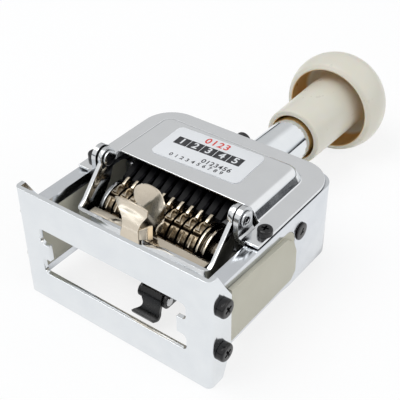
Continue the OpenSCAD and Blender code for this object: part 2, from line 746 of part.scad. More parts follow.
// Outline of the front finger tab in x and z: it leans to the right from its foot to its wide rim
module front_tab_outline(foot_z) {
    h = front_tab_z - bar_top_z;
    foot = tab_neck_w / 2;
    rim = tab_rim_w / 2;
    left = [[front_rim_x - rim, 1], [front_rim_x - rim * 0.97, 0.8], [front_rim_x - rim * 0.9, 0.63],
            [front_foot_x - foot * 0.53, 0.44], [front_foot_x - foot * 0.66, 0.26],
            [front_foot_x - foot, 0.03]];
    right = [[front_foot_x + foot, 0.03], [front_foot_x + foot * 1.1, 0.26],
             [front_foot_x + foot * 1.4, 0.42], [front_rim_x + rim * 0.53, 0.63],
             [front_rim_x + rim * 0.88, 0.82], [front_rim_x + rim, 0.95], [front_rim_x + rim * 0.94, 1]];
    polygon(concat([for (p = left) [p[0], bar_top_z + p[1] * h]],
                   [[front_foot_x - foot, foot_z], [front_foot_x + foot, foot_z]],
                   [for (p = right) [p[0], bar_top_z + p[1] * h]]));
}

// The front finger tab stands before the cross bar, and its hook goes over the bar to the pad holder
module front_finger_tab() {
    foot_z = bar_top_z - bar_h * 0.85;
    h = front_tab_z - bar_top_z;
    bends = [[0, 0.05], [-0.4, 0.18], [-0.2, 0.3], [0.5, 0.5], [1.5, 0.78], [2.4, 1.05]];
    edge_x = front_foot_x + tab_neck_w / 2;
    face_y = front_tab_y - tab_t;
    slant = hook_reach * 0.43;
    behind_y = bar_front_y + bar_t + slide_gap;
    behind_x = edge_x + slant * (behind_y - face_y) / hook_reach;
    color([0.8, 0.75, 0.68]) lay() {
        intersection() {
            front_cut(front_tab_y - 8, front_tab_y + 1) front_tab_outline(foot_z);
            side_cut(-tab_rim_w, tab_rim_w)
                polygon(concat([[front_tab_y, foot_z]],
                               [for (p = bends) [front_tab_y - p[0], bar_top_z + p[1] * h]],
                               [for (k = [len(bends) - 1 : -1 : 0])
                                   [face_y - bends[k][0], bar_top_z + bends[k][1] * h]],
                               [[face_y, foot_z]]));
        }
        translate([0, 0, bar_top_z + slide_gap]) linear_extrude(height = h * 0.27)
            polygon([[edge_x - tab_t, face_y + eps], [edge_x, face_y + eps],
                     [edge_x + slant, face_y + hook_reach], [edge_x + slant - tab_t, face_y + hook_reach]]);
        translate([0, 0, holder_top_z]) linear_extrude(height = bar_top_z - holder_top_z + slide_gap + eps)
            polygon([[behind_x - tab_t, behind_y], [behind_x, behind_y],
                     [edge_x + slant, face_y + hook_reach], [edge_x + slant - tab_t, face_y + hook_reach]]);
    }
}

// Outline of the rear finger tab in x and z: an oval over a straight neck
module rear_tab_outline(foot_z) {
    h = rear_tab_z - holder_top_z;
    mid_z = rear_tab_z - 0.32 * h;
    polygon([for (a = [0 : 10 : 350])
             [rear_rim_w / 2 * cos(a), mid_z + (a < 180 ? 0.32 : 0.43) * h * sin(a)]]);
    translate([-tab_neck_w / 2, foot_z]) square([tab_neck_w, mid_z - foot_z]);
}

module rear_finger_tab() {
    foot_y = holder_front_y + 4;
    foot_z = holder_top_z + slide_gap;
    h = rear_tab_z - holder_top_z;
    bends = [[0, 0], [1.6, 0.22], [2.2, 0.62], [1.8, 1.05]];
    color([0.8, 0.75, 0.68]) lay() intersection() {
        front_cut(foot_y - 4, foot_y + 8) rear_tab_outline(foot_z);
        side_cut(-rear_rim_w, rear_rim_w)
            polygon(concat([for (p = bends) [foot_y + p[0], foot_z + p[1] * h]],
                           [for (k = [len(bends) - 1 : -1 : 0])
                               [foot_y + bends[k][0] - tab_t, foot_z + bends[k][1] * h]]));
    }
}

module carriage_yoke() {
    wing_x = wall_in_x - slide_gap;
    color("gray") lay() difference() {
        union() {
            translate([-wing_x, yoke_front_y, slot_low_z + 2])
                cube([2 * wing_x, yoke_rear_y - yoke_front_y, slot_top_z - slot_low_z - 4]);
            translate([-head_in_x, yoke_front_y, yoke_low_z])
                cube([2 * head_in_x, yoke_rear_y - yoke_front_y, yoke_top_z - yoke_low_z]);
        }
        both_sides() translate([rod_r + 4.5, yoke_front_y + 2, yoke_low_z - 1])
            cube([head_in_x - rod_r - 7.6, yoke_rear_y, yoke_top_z - yoke_low_z - 2]);
        translate([0, 0, axis_z]) rod_y(yoke_front_y + 2, yoke_rear_y + 1, rod_r);
    }
}

// Right-hand side plate of the printing head, with a round end about the wheel shaft
module carriage_plate(inner_x) {
    color("silver") difference() {
        side_cut(inner_x, inner_x + head_plate_t) union() {
            translate([wheel_y, wheel_z]) circle(r = head_plate_r);
            polygon([[wheel_y, wheel_z - head_plate_r * 0.94], [yoke_front_y, yoke_low_z + 1],
                     [yoke_front_y, yoke_top_z], [wheel_y, wheel_z + head_plate_r * 0.9]]);
        }
        translate([0, wheel_y, wheel_z]) rod_x(inner_x - 1, inner_x + head_plate_t + 1, wheel_shaft_r);
    }
}

module carriage_plate_left() { lay() mirror([1, 0, 0]) carriage_plate(head_in_x); }

module carriage_plate_right() { lay() carriage_plate(head_in_x); }

module wheel_shaft() {
    color("silver") lay() translate([0, wheel_y, wheel_z])
        rod_x(-head_half_w - 0.1, head_half_w + 0.1, wheel_shaft_r);
}

// A flat nut on each end of the wheel shaft
module carriage_nuts() {
    color("silver") lay() both_sides() translate([head_half_w + 0.1, wheel_y, wheel_z])
        rotate([0, 90, 0]) cylinder(h = 0.5, r = wheel_shaft_r + 0.8, $fn = 6);
}

// The bright ring and step disc at the right-hand end of the wheel stack
module wheel_end_ring() {
    x0 = first_wheel_x + figure_w / 2 + ratchet_w + slide_gap;
    color("silver") lay() translate([0, wheel_y, wheel_z]) difference() {
        union() {
            rod_x(x0, x0 + end_disc_t, wheel_r - 0.1);
            rod_x(x0 + end_disc_t - eps, x0 + 2.6 * end_disc_t, ratchet_r);
            rod_x(x0 + 2.6 * end_disc_t - eps, x0 + 3.6 * end_disc_t, wheel_r - 0.6);
            rod_x(x0 + 3.6 * end_disc_t - eps, head_in_x, disc_boss_r);
        }
        rod_x(x0 - 1, head_in_x + 1, wheel_shaft_r);
    }
}

// One number wheel: a ring with ten raised figures and a ratchet ring on its right
module number_wheel(i) {
    x = first_wheel_x - (i - 1) * wheel_pitch;
    ring_r = wheel_r - figure_h;
    color([0.78, 0.74, 0.68]) lay() translate([x, wheel_y, wheel_z]) difference() {
        union() {
            rod_x(-figure_w / 2, figure_w / 2, ring_r);
            side_cut(figure_w / 2 - 0.5, figure_w / 2 + ratchet_w)
                polygon([for (k = [0 : 9], tooth = [[1, 0], [0.86, 34]])
                    ratchet_r * tooth[0] * [cos(36 * k + tooth[1]), sin(36 * k + tooth[1])]]);
            for (k = [0 : 9]) rotate([k * 36 + 9, 0, 0])
                translate([-figure_w / 2 + 0.3, -2.3, ring_r - 0.8])
                    cube([figure_w - 0.6, 4.6, figure_h + 0.55]);
        }
        rod_x(-figure_w, figure_w + ratchet_w, wheel_shaft_r + pin_play);
    }
}

// Middle of the groove on the right of wheel i
function groove_x(i) = first_wheel_x - (i - 1) * wheel_pitch + (figure_w + ratchet_w) / 2;

module comb() {
    color("dimgray") lay() difference() {
        union() {
            for (i = [0 : wheel_count]) side_cut(groove_x(i) - wheel_pitch / 2 - comb_tooth_w / 2,
                                                 groove_x(i) - wheel_pitch / 2 + comb_tooth_w / 2)
                polygon([[comb_front_y, comb_low_z + 0.3], [comb_front_y + 0.4, comb_low_z + 1.7],
                         [comb_bend_y, comb_top_z], [yoke_rear_y, comb_top_z],
                         [yoke_rear_y, yoke_top_z], [yoke_front_y, yoke_top_z],
                         [comb_bend_y - 0.5, comb_low_z], [comb_front_y + 3, comb_low_z]]);
            translate([-head_half_w, yoke_front_y + 1, yoke_top_z])
                cube([2 * head_half_w, yoke_rear_y - yoke_front_y - 1, comb_top_z - yoke_top_z]);
        }
        translate([0, pawl_y, pawl_z]) rod_x(-head_half_w - 1, head_half_w + 1, pawl_shaft_r);
    }
}

module pawl_shaft() {
    color("silver") lay() translate([0, pawl_y, pawl_z]) rod_x(-head_half_w, head_half_w, pawl_shaft_r);
}

// One pawl a wheel, all on one shaft, with their tips in the grooves between the wheels
module pawls() {
    w = wheel_pitch - comb_tooth_w - 0.6;
    color([0.8, 0.76, 0.7]) lay() difference() {
        for (i = [1 : wheel_count]) side_cut(groove_x(i) - w / 2, groove_x(i) + w / 2) union() {
            translate([pawl_y, pawl_z]) circle(r = pawl_shaft_r + 1, $fn = 32);
            polygon([[pawl_y, pawl_z - 2], [wheel_y + 3, comb_low_z], [wheel_y - 1.1, comb_low_z],
                     [wheel_y - 1.1, comb_low_z + 1.7], [wheel_y + 1.1, comb_low_z + 2.7],
                     [pawl_y, pawl_z + 2]]);
        }
        translate([0, pawl_y, pawl_z]) rod_x(-head_half_w - 1, head_half_w + 1, pawl_shaft_r + pin_play);
    }
}

module plunger_rod() {
    color("silver") lay() translate([0, 0, axis_z])
        rod_y(yoke_front_y + 2, dome_y + rod_grip, rod_r);
}

module rod_collar() {
    color("silver") lay() translate([0, 0, axis_z]) difference() {
        rod_y(spring_rear_y, spring_rear_y + collar_w, tube_bore_r - slide_gap);
        rod_y(spring_rear_y - 1, spring_rear_y + collar_w + 1, rod_r);
    }
}

// Points round the spring's wire at one step along its turns
function spring_ring(n) =
    let (a = 360 * n / ring_count,
         y = spring_front_y + spring_wire_r
             + n / spring_steps * (spring_rear_y - spring_front_y - 2 * spring_wire_r))
    [for (k = [0 : 5]) let (b = 60 * k, r = spring_r + spring_wire_r * cos(b))
        [r * cos(a), y + spring_wire_r * sin(b), r * sin(a)]];

// Least distance between the points of rings that lie half a turn or more apart
function spring_gap() = min([for (n = [0 : spring_steps], m = [n + ring_count / 2 : n + 2 * ring_count])
    if (m <= spring_steps) min([for (p = spring_ring(n), q = spring_ring(m)) norm(p - q)])]);

module return_spring() {
    echo(str("least gap between the return spring's turns: ", spring_gap(), " mm"));
    points = [for (n = [0 : spring_steps]) each spring_ring(n)];
    sides = [for (n = [0 : spring_steps - 1], k = [0 : 5]) let (a = 6 * n + k, b = 6 * n + (k + 1) % 6)
        each [[a, b, a + 6], [b, b + 6, a + 6]]];
    last = 6 * spring_steps;
    first_cap = [for (k = [1 : 4]) [0, k + 1, k]];
    last_cap = [for (k = [1 : 4]) [last, last + k, last + k + 1]];
    color("silver") lay() translate([0, 0, axis_z])
        polyhedron(points = points, faces = concat(sides, first_cap, last_cap));
}

// Half section of the dome as radius and y, from its rim to its top
function dome_curve(r, len_r, y0) =
    let (a0 = asin((y0 - dome_y) / len_r)) [for (k = [0 : 16]) let (a = a0 + (90 - a0) * k / 16)
        [r * cos(a), dome_y + len_r * sin(a)]];

// Radius of the dome's inside at one place along its axis
function dome_inside(y) = (dome_r - dome_wall) * sqrt(1 - pow((y - dome_y) / dome_len_r, 2));

// The knob's half section, turned about its axis: a dome, a ring recess, and a sleeve with a bore
module knob_section() {
    floor_y = dome_open_y + recess_depth;
    bore_end_y = tube_end_y + stroke + 2;
    polygon(concat(
        dome_curve(dome_r, dome_len_r, dome_open_y),
        [[0, bore_end_y], [sleeve_bore_r, bore_end_y], [sleeve_bore_r, sleeve_mouth_y],
         [sleeve_mouth_r, sleeve_mouth_y], [sleeve_root_r, dome_open_y], [sleeve_root_r, floor_y - 2],
         [sleeve_root_r + 1, floor_y], [dome_inside(floor_y) - 2, floor_y]],
        [for (k = [1 : 6]) let (y = floor_y - 1 - k * (recess_depth - 1) / 6) [dome_inside(y), y]]));
}

module knob() {
    color([0.9, 0.88, 0.8]) lay() translate([0, 0, axis_z]) difference() {
        union() {
            rotate([-90, 0, 0]) rotate_extrude($fn = 128) knob_section();
            rod_y(dome_y - 3, tube_end_y + stroke + 3, rod_r + 2.6);
        }
        rod_y(dome_y - 4, dome_y + rod_grip, rod_r);
    }
}

frame();
slot_liner_left();
slot_liner_right();
base_plate();
base_screws();
cover();
cover_screws();
side_screws();
rear_screw();
label_plate();
arm_pivot_screws();
guide_tube();
rod_bush();
lever_bracket();
lever_pin();
repeat_lever();
ink_arms();
pad_holder();
ink_pad();
front_finger_tab();
rear_finger_tab();
carriage_yoke();
carriage_plate_left();
carriage_plate_right();
carriage_nuts();
wheel_shaft();
wheel_end_ring();
comb();
pawl_shaft();
pawls();
plunger_rod();
rod_collar();
return_spring();
knob();
for (i = [1 : wheel_count]) number_wheel(i);
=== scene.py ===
import math
from types import SimpleNamespace

import bmesh
import bpy
from mathutils import Matrix, Vector


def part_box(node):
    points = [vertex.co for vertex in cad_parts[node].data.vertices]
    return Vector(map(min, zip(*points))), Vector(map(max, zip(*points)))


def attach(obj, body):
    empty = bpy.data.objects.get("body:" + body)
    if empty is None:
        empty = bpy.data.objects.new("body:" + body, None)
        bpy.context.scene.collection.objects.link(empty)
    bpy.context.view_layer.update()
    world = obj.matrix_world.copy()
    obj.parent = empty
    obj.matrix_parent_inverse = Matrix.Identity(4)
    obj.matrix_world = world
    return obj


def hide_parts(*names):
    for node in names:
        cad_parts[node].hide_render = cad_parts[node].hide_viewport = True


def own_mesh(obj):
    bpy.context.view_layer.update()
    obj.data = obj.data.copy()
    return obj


# Looks for the numbering machine. It lies on its back, print face towards -Y and knob towards +Y.
# Shapes are drawn in millimetres, with y counted from the base plate's outer face.

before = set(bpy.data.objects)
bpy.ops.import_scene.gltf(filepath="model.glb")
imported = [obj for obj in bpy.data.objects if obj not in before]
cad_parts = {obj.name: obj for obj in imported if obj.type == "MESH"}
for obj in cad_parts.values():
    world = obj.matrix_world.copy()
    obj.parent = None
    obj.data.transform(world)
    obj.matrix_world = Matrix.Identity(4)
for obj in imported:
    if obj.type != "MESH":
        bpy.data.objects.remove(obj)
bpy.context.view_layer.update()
mm = 0.001
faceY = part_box("base_plate")[0][1] / mm
print("frame loaded:", len(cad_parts), "nodes")


# Small tools

def linear(hexColour):  # sRGB hex to linear
    parts = [int(hexColour[n:n + 2], 16) / 255 for n in (1, 3, 5)]
    return tuple(c / 12.92 if c <= 0.04045 else ((c + 0.055) / 1.055) ** 2.4 for c in parts) + (1.0,)


# An input is a value, a socket, or a node that gives its first output
def setInputs(tree, item, inputs):
    for key, value in inputs.items():
        if isinstance(value, bpy.types.Node):
            value = value.outputs[0]
        if isinstance(value, bpy.types.NodeSocket):
            tree.links.new(value, item.inputs[key])
        else:
            item.inputs[key].default_value = value


def addNode(tree, kind, inputs=None, **settings):
    item = tree.nodes.new(kind)
    for key, value in settings.items():
        setattr(item, key, value)
    setInputs(tree, item, inputs or {})
    return item


def emptyTree(block):  # the node tree of a material or a world, with nothing in it
    block.use_nodes = True
    block.node_tree.nodes.clear()
    return block.node_tree


def setStops(ramp, stops):
    while len(ramp.elements) < len(stops):
        ramp.elements.new(0.5)
    for element, (position, colour) in zip(ramp.elements, stops):
        element.position = position
        element.color = linear(colour)


def newObject(name, data):
    item = bpy.data.objects.new(name, data)
    bpy.context.collection.objects.link(item)
    return item


def smooth(value):  # eases in and out between 0 and 1
    value = min(max(value, 0.0), 1.0)
    return value * value * (3 - 2 * value)


def arc(centre, radius, start, end, steps):  # angles in degrees
    turns = [math.radians(start + (end - start) * k / steps) for k in range(steps + 1)]
    return [(centre[0] + radius * math.cos(a), centre[1] + radius * math.sin(a)) for a in turns]


def rectangle(x, y, halfX, halfY):
    return [(x - halfX, y - halfY), (x + halfX, y - halfY), (x + halfX, y + halfY), (x - halfX, y + halfY)]


def across(axis, u, v, along):  # a point u and v off an axis, and some way along it
    return {"X": (along, u, v), "Y": (u, along, v), "Z": (u, v, along)}[axis]


# Smooth values between rows of numbers, a step of some steps on from the first row to the last
def curveThrough(points, step, steps):
    t = (len(points) - 1) * step / steps
    k = min(int(t), len(points) - 2)
    f = t - k
    p0, p1, p2, p3 = (points[min(max(n, 0), len(points) - 1)] for n in (k - 1, k, k + 1, k + 2))
    return [0.5 * (2 * b + (c - a) * f + (2 * a - 5 * b + 4 * c - d) * f * f
                   + (3 * b - a - 3 * c + d) * f ** 3) for a, b, c, d in zip(p0, p1, p2, p3)]


# Turns a profile of (radius, along) about an axis through centre; a radius of 0 makes a pole
def lathe(profile, axis, centre, steps=96):
    bm = bmesh.new()
    rings = []
    for radius, along in profile:
        ring = []
        for k in range(1 if radius < 1e-6 else steps):
            a = 2 * math.pi * k / steps
            place = across(axis, radius * math.cos(a), radius * math.sin(a), along)
            ring.append(bm.verts.new([c + p for c, p in zip(centre, place)]))
        rings.append(ring)
    closed = len(rings[0]) > 1 and len(rings[-1]) > 1
    for first, second in list(zip(rings, rings[1:])) + ([(rings[-1], rings[0])] if closed else []):
        for k in range(steps):
            n = (k + 1) % steps
            places = ((first, k), (second, k), (second, n), (first, n))
            corners = list(dict.fromkeys(ring[i % len(ring)] for ring, i in places))
            if len(corners) > 2:
                bm.faces.new(corners)
    bmesh.ops.recalc_face_normals(bm, faces=bm.faces)
    return bm


# A flat outline made solid from low to high along an axis
def plate(points, low, high, axis):
    bm = bmesh.new()
    bottom, top = ([bm.verts.new(across(axis, u, v, end)) for u, v in points] for end in (low, high))
    bm.faces.new(bottom)
    bm.faces.new(top)
    for k in range(len(points)):
        n = (k + 1) % len(points)
        bm.faces.new((bottom[k], bottom[n], top[n], top[k]))
    bmesh.ops.recalc_face_normals(bm, faces=bm.faces)
    return bm


def skin(bm, rows):  # faces between neighbouring rows of vertices
    for first, second in zip(rows, rows[1:]):
        for k in range(len(first) - 1):
            bm.faces.new((first[k], first[k + 1], second[k + 1], second[k]))


def joined(parts):
    whole = bmesh.new()
    for part in parts:
        mesh = bpy.data.meshes.new("part")
        part.to_mesh(mesh)
        whole.from_mesh(mesh)
        part.free()
        bpy.data.meshes.remove(mesh)
    return whole


def toObject(name, bm, inMillimetres=True):
    if inMillimetres:
        bm.transform(Matrix.Scale(mm, 4) @ Matrix.Translation((0, faceY, 0)))
    for face in bm.faces:
        face.smooth = True
    mesh = bpy.data.meshes.new(name)
    bm.to_mesh(mesh)
    bm.free()
    return newObject(name, mesh)


def thickened(piece, sheet, offset=0.0):
    thick = piece.modifiers.new("thickness", "SOLIDIFY")
    thick.thickness = sheet * mm
    thick.offset = offset
    return thick


def rounded(piece, width, segments=3, angle=38, unit=mm):  # edges sharper than the angle
    bevel = piece.modifiers.new("edges", "BEVEL")
    bevel.width = width * unit
    bevel.segments = segments
    bevel.limit_method = "ANGLE"
    bevel.angle_limit = math.radians(angle)
    bevel.harden_normals = True
    return piece


def baked(piece):  # live modifiers become plain mesh
    graph = bpy.context.evaluated_depsgraph_get()
    mesh = bpy.data.meshes.new_from_object(piece.evaluated_get(graph))
    piece.modifiers.clear()
    piece.data = mesh
    return piece


def finishPiece(piece, body, finish, replaced=()):
    if not piece.data.materials:
        piece.data.materials.append(paint[finish])
    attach(piece, body)
    if replaced:
        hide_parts(*replaced)


# How near points of a CAD node are one point, and how flat an edge is no edge
cadPoint = 0.002 * mm
cadFlat = math.radians(0.6)


# A CAD node's own shape with its loose triangles merged and its edges rounded
def softened(nodeName, body, finish, edge, segments=3):
    bm = bmesh.new()
    bm.from_mesh(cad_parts[nodeName].data)
    bmesh.ops.remove_doubles(bm, verts=bm.verts, dist=cadPoint)
    bmesh.ops.dissolve_limit(bm, angle_limit=cadFlat, verts=bm.verts, edges=bm.edges)
    piece = toObject(nodeName + "_finished", bm, inMillimetres=False)
    baked(rounded(piece, edge, segments))
    finishPiece(piece, body, finish, [nodeName])


# A thin sheet over a grid of points, with rounded edges
def sheetMetal(name, grid, sheet, body, replaced=(), finish="warmNickel", edge=0.24):
    bm = bmesh.new()
    skin(bm, [[bm.verts.new(p) for p in line] for line in grid])
    piece = toObject(name, bm)
    thickened(piece, sheet)
    baked(rounded(piece, edge, angle=50))
    finishPiece(piece, body, finish, replaced)


# Camera, at the photograph's angle

shot = dict(
    azimuth=37.35, elevation=37.23, roll=-0.72, distance=325.25, target=(0.90, 51.09, 31.41),
    focalPixels=855.33, framePixels=400, sensor=36.0, nearest=10.0)


def addCamera():
    azimuth, elevation, roll = (math.radians(shot[key]) for key in ("azimuth", "elevation", "roll"))
    back = Vector((math.sin(azimuth) * math.cos(elevation), -math.cos(azimuth) * math.cos(elevation),
                   math.sin(elevation)))
    level = (-back).cross(Vector((0, 0, 1))).normalized()
    upright = level.cross(-back)
    right = level * math.cos(roll) + upright * math.sin(roll)
    up = upright * math.cos(roll) - level * math.sin(roll)
    x, y, z = shot["target"]
    eye = (Vector((x, y + faceY, z)) + back * shot["distance"]) * mm
    data = bpy.data.cameras.new("camera")
    data.sensor_width = shot["sensor"]
    data.lens = shot["focalPixels"] / shot["framePixels"] * shot["sensor"]
    data.clip_start = shot["nearest"] * mm
    camera = newObject("camera", data)
    camera.matrix_world = Matrix((
        (right.x, up.x, back.x, eye.x), (right.y, up.y, back.y, eye.y), (right.z, up.z, back.z, eye.z),
        (0, 0, 0, 1)))
    bpy.context.scene.camera = camera


addCamera()
print("camera placed")


# Studio: white table and white surroundings. Metal also mirrors a thin dark horizon, and a greyer part
# behind on the left

studio = dict(
    fill=0.62, sky="#F7F9FC", greyLeft=0.67, leftEdge=(-0.35, 0.08), rearEdge=(-0.15, 0.3),
    horizon=[(0.0, "#3A3C40"), (0.07, "#2E3034"), (0.13, "#E9ECEE"), (0.35, "#FFFFFF"), (1.0, "#FFFFFF")],
    tableSize=4.0, tableRoughness=0.9, tableGlow=0.8, tableDrop=0.2)
lamps = dict(
    key=dict(power=2.6, size=0.55, at=(-0.25, -0.25, 0.75)),
    side=dict(power=0.9, size=0.5, at=(0.75, 0.1, 0.45)))


# Which rays come from the camera, and which a mirror or a clear body sends on
def rayKinds(tree):
    path = addNode(tree, "ShaderNodeLightPath")
    mirrored = addNode(tree, "ShaderNodeMath", {0: path.outputs["Is Glossy Ray"],
                                                1: path.outputs["Is Transmission Ray"]}, operation="MAXIMUM")
    return path.outputs["Is Camera Ray"], mirrored


def addWorld():
    s = SimpleNamespace(**studio)
    world = bpy.data.worlds.new("studio")
    bpy.context.scene.world = world
    tree = emptyTree(world)
    fromCamera, mirrored = rayKinds(tree)
    place = addNode(tree, "ShaderNodeTexCoord")
    axes = addNode(tree, "ShaderNodeSeparateXYZ", {0: place.outputs["Generated"]})
    height = addNode(tree, "ShaderNodeValToRGB", {0: axes.outputs["Z"]})
    setStops(height.color_ramp, s.horizon)
    left, behind = (
        addNode(tree, "ShaderNodeMapRange", {0: axes.outputs[axis], 1: start, 2: end, 3: low, 4: high},
                interpolation_type="SMOOTHSTEP")
        for axis, (start, end), low, high in (("X", s.leftEdge, 1.0, 0.0), ("Y", s.rearEdge, 0.0, 1.0)))
    corner = addNode(tree, "ShaderNodeMath", {0: left, 1: behind}, operation="MULTIPLY")
    grey = addNode(tree, "ShaderNodeMapRange", {0: corner, 3: 1.0, 4: s.greyLeft})
    seen = addNode(tree, "ShaderNodeVectorMath", {0: height, "Scale": grey}, operation="SCALE")
    colour = addNode(tree, "ShaderNodeMix", {0: mirrored, 6: linear(s.sky), 7: seen}, data_type="RGBA")
    level = addNode(tree, "ShaderNodeMapRange", {0: mirrored, 3: s.fill, 4: 1.0})
    around = addNode(tree, "ShaderNodeBackground", {0: colour.outputs[2], 1: level})
    white = addNode(tree, "ShaderNodeBackground", {0: (1, 1, 1, 1), 1: 1.0})
    surface = addNode(tree, "ShaderNodeMixShader", {0: fromCamera, 1: around, 2: white})
    addNode(tree, "ShaderNodeOutputWorld", {0: surface})


def addLamps():
    for name, lamp in lamps.items():
        data = bpy.data.lights.new(name, "AREA")
        data.energy = lamp["power"]
        data.size = lamp["size"]
        item = newObject(name, data)
        item.location = lamp["at"]
        item.rotation_euler = (-Vector(lamp["at"])).to_track_quat("-Z", "Y").to_euler()


# The table looks nearly white to the camera and in reflections, and keeps a light shadow
def addTable():
    material = bpy.data.materials.new("whiteTable")
    tree = emptyTree(material)
    fromCamera, mirrored = rayKinds(tree)
    lit = addNode(tree, "ShaderNodeBsdfDiffuse", {0: (1, 1, 1, 1), 1: studio["tableRoughness"]})
    glow = addNode(tree, "ShaderNodeEmission", {0: (1, 1, 1, 1), 1: 1.0})
    direct = addNode(tree, "ShaderNodeMath", {0: mirrored, 1: fromCamera}, operation="MAXIMUM")
    share = addNode(tree, "ShaderNodeMath", {0: direct, 1: studio["tableGlow"]}, operation="MULTIPLY")
    surface = addNode(tree, "ShaderNodeMixShader", {0: share, 1: lit, 2: glow})
    addNode(tree, "ShaderNodeOutputMaterial", {0: surface})
    bm = bmesh.new()
    bmesh.ops.create_grid(bm, x_segments=2, y_segments=2, size=studio["tableSize"] / 2)
    floor = toObject("table", bm, inMillimetres=False)
    floor.data.materials.append(material)
    floor.location.z = -studio["tableDrop"] * mm


bpy.context.scene.view_settings.view_transform = "Standard"
addWorld()
addLamps()
addTable()
print("studio lit")


# Materials. Ripple, grain and texture are a depth and a spacing in millimetres

# The last two entries of metalLook set the painted shade in recesses: how far it looks for nearby parts, and
# over which share of open surroundings the colour darkens
metalLook = dict(smudgeSize=7.0, smudges=(0.35, 0.7), hollowReach=15.0, hollows=(0.3, 0.75))
plasticLook = dict(
    cloudSize=14.0, patchSize=5.0, patches=(0.3, 0.75), haze=0.08, ior=1.53, lightRadius=(1.0, 0.55, 0.25),
    lightDepth=1.6)


def newMaterial(name):
    material = bpy.data.materials.new(name)
    tree = emptyTree(material)
    shader = addNode(tree, "ShaderNodeBsdfPrincipled")
    addNode(tree, "ShaderNodeOutputMaterial", {0: shader})
    return material, tree, shader, addNode(tree, "ShaderNodeTexCoord").outputs["Object"]


# Bumps of a depth and a spacing, on top of those that the shader has; gives the noise for other use
def roughened(tree, shader, place, relief, detail):
    depth, size = relief
    noise = addNode(tree, "ShaderNodeTexNoise",
                    {"Vector": place, "Scale": 1 / (size * mm), "Detail": detail})
    bump = addNode(tree, "ShaderNodeBump", {"Strength": 1.0, "Distance": depth * mm, "Height": noise})
    normal = shader.inputs["Normal"]
    if normal.is_linked:
        tree.links.new(normal.links[0].from_socket, bump.inputs["Normal"])
    tree.links.new(bump.outputs[0], normal)
    return noise


# Noise of a size, and a roughness that goes with it from its low to its high limit
def mottled(tree, place, size, limits, roughness, haze):
    noise = addNode(tree, "ShaderNodeTexNoise",
                    {"Vector": place, "Scale": 1 / (size * mm), "Detail": 3.0})
    gloss = addNode(tree, "ShaderNodeMapRange", {0: noise, 1: limits[0], 2: limits[1],
                                                 3: roughness, 4: roughness + haze})
    return noise, gloss


# Metal with a mirror skin: soft ripples from polishing, a finer grain for some, and smudges that haze it.
# The last argument paints shade into the colour: up to that share darker in recesses, standing for the
# machine's dark inside that the metal mirrors
def plated(name, colour, shade, roughness, ripple, grain=None, haze=0.05, hollowShade=0.0):
    material, tree, shader, place = newMaterial(name)
    look = SimpleNamespace(**metalLook)
    smudge, gloss = mottled(tree, place, look.smudgeSize, look.smudges, roughness, haze)
    tint = addNode(tree, "ShaderNodeMix", {0: smudge, 6: linear(colour), 7: linear(shade)},
                   data_type="RGBA").outputs[2]
    # Painted shade: ambient occlusion darkens the base colour in recesses
    if hollowShade:
        around = addNode(tree, "ShaderNodeAmbientOcclusion", {"Distance": look.hollowReach * mm}, samples=12)
        dark = addNode(tree, "ShaderNodeMapRange", {0: around.outputs["AO"], 1: look.hollows[0],
                                                    2: look.hollows[1], 3: 1 - hollowShade, 4: 1.0})
        tint = addNode(tree, "ShaderNodeVectorMath", {0: tint, "Scale": dark}, operation="SCALE")
    setInputs(tree, shader, {"Base Color": tint, "Roughness": gloss, "Metallic": 1.0})
    roughened(tree, shader, place, ripple, 1.0)
    if grain:
        roughened(tree, shader, place, grain, 2.0)
    return material


# Moulded or painted: even colour with slight clouds, a fine texture, and light inside where warmth is given
def moulded(name, colour, shade, roughness, texture, warmth=0.0, shine=0.5):
    material, tree, shader, place = newMaterial(name)
    look = SimpleNamespace(**plasticLook)
    cloud = addNode(tree, "ShaderNodeTexNoise",
                    {"Vector": place, "Scale": 1 / (look.cloudSize * mm), "Detail": 2.0})
    tint = addNode(tree, "ShaderNodeMix", {0: cloud, 6: linear(colour), 7: linear(shade)}, data_type="RGBA")
    gloss = mottled(tree, place, look.patchSize, look.patches, roughness, look.haze)[1]
    setInputs(tree, shader, {"Base Color": tint.outputs[2], "Roughness": gloss, "IOR": look.ior,
                             "Specular IOR Level": shine})
    roughened(tree, shader, place, texture, 2.0)
    if warmth:
        setInputs(tree, shader, {"Subsurface Weight": warmth, "Subsurface Radius": look.lightRadius,
                                 "Subsurface Scale": look.lightDepth * mm})
    return material


# Lays a second colour over a material's own, as far as share says
def overlaid(material, share, colour):
    tree = material.node_tree
    base = tree.nodes["Principled BSDF"].inputs["Base Color"]
    both = addNode(tree, "ShaderNodeMix", {0: share, 6: base.links[0].from_socket, 7: linear(colour)},
                   data_type="RGBA")
    tree.links.new(both.outputs[2], base)
    return material


def middle(nodeName):
    low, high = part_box(nodeName)
    return [(a + b) / 2 for a, b in zip(low, high)]


# Moulded ABS: even warm white, with amber painted where it faces its own axis, standing for light coming
# through the wall and warm shade inside the recess
def ivoryAbs():
    material = moulded("ivoryAbs", "#E2DFD2", "#DBD7C8", 0.27, texture=(0.006, 0.6), warmth=0.25)
    tree = material.node_tree
    x, y, z = middle("knob")
    paintedGlowStart, paintedGlowFull = -0.3, -0.8  # how far the surface turns to the axis
    place = addNode(tree, "ShaderNodeTexCoord")
    flat = addNode(tree, "ShaderNodeMapping", {0: place.outputs["Object"], 1: (-x, 0, -z), 3: (1, 0, 1)})
    away = addNode(tree, "ShaderNodeVectorMath", {0: flat}, operation="NORMALIZE")
    facing = addNode(tree, "ShaderNodeVectorMath", {0: away, 1: place.outputs["Normal"]},
                     operation="DOT_PRODUCT")
    # Painted glow and shade: amber laid over the faces that turn towards the knob's axis
    amber = addNode(tree, "ShaderNodeMapRange", {0: facing.outputs["Value"], 1: paintedGlowStart, 2: paintedGlowFull})
    return overlaid(material, amber, "#E3B770")


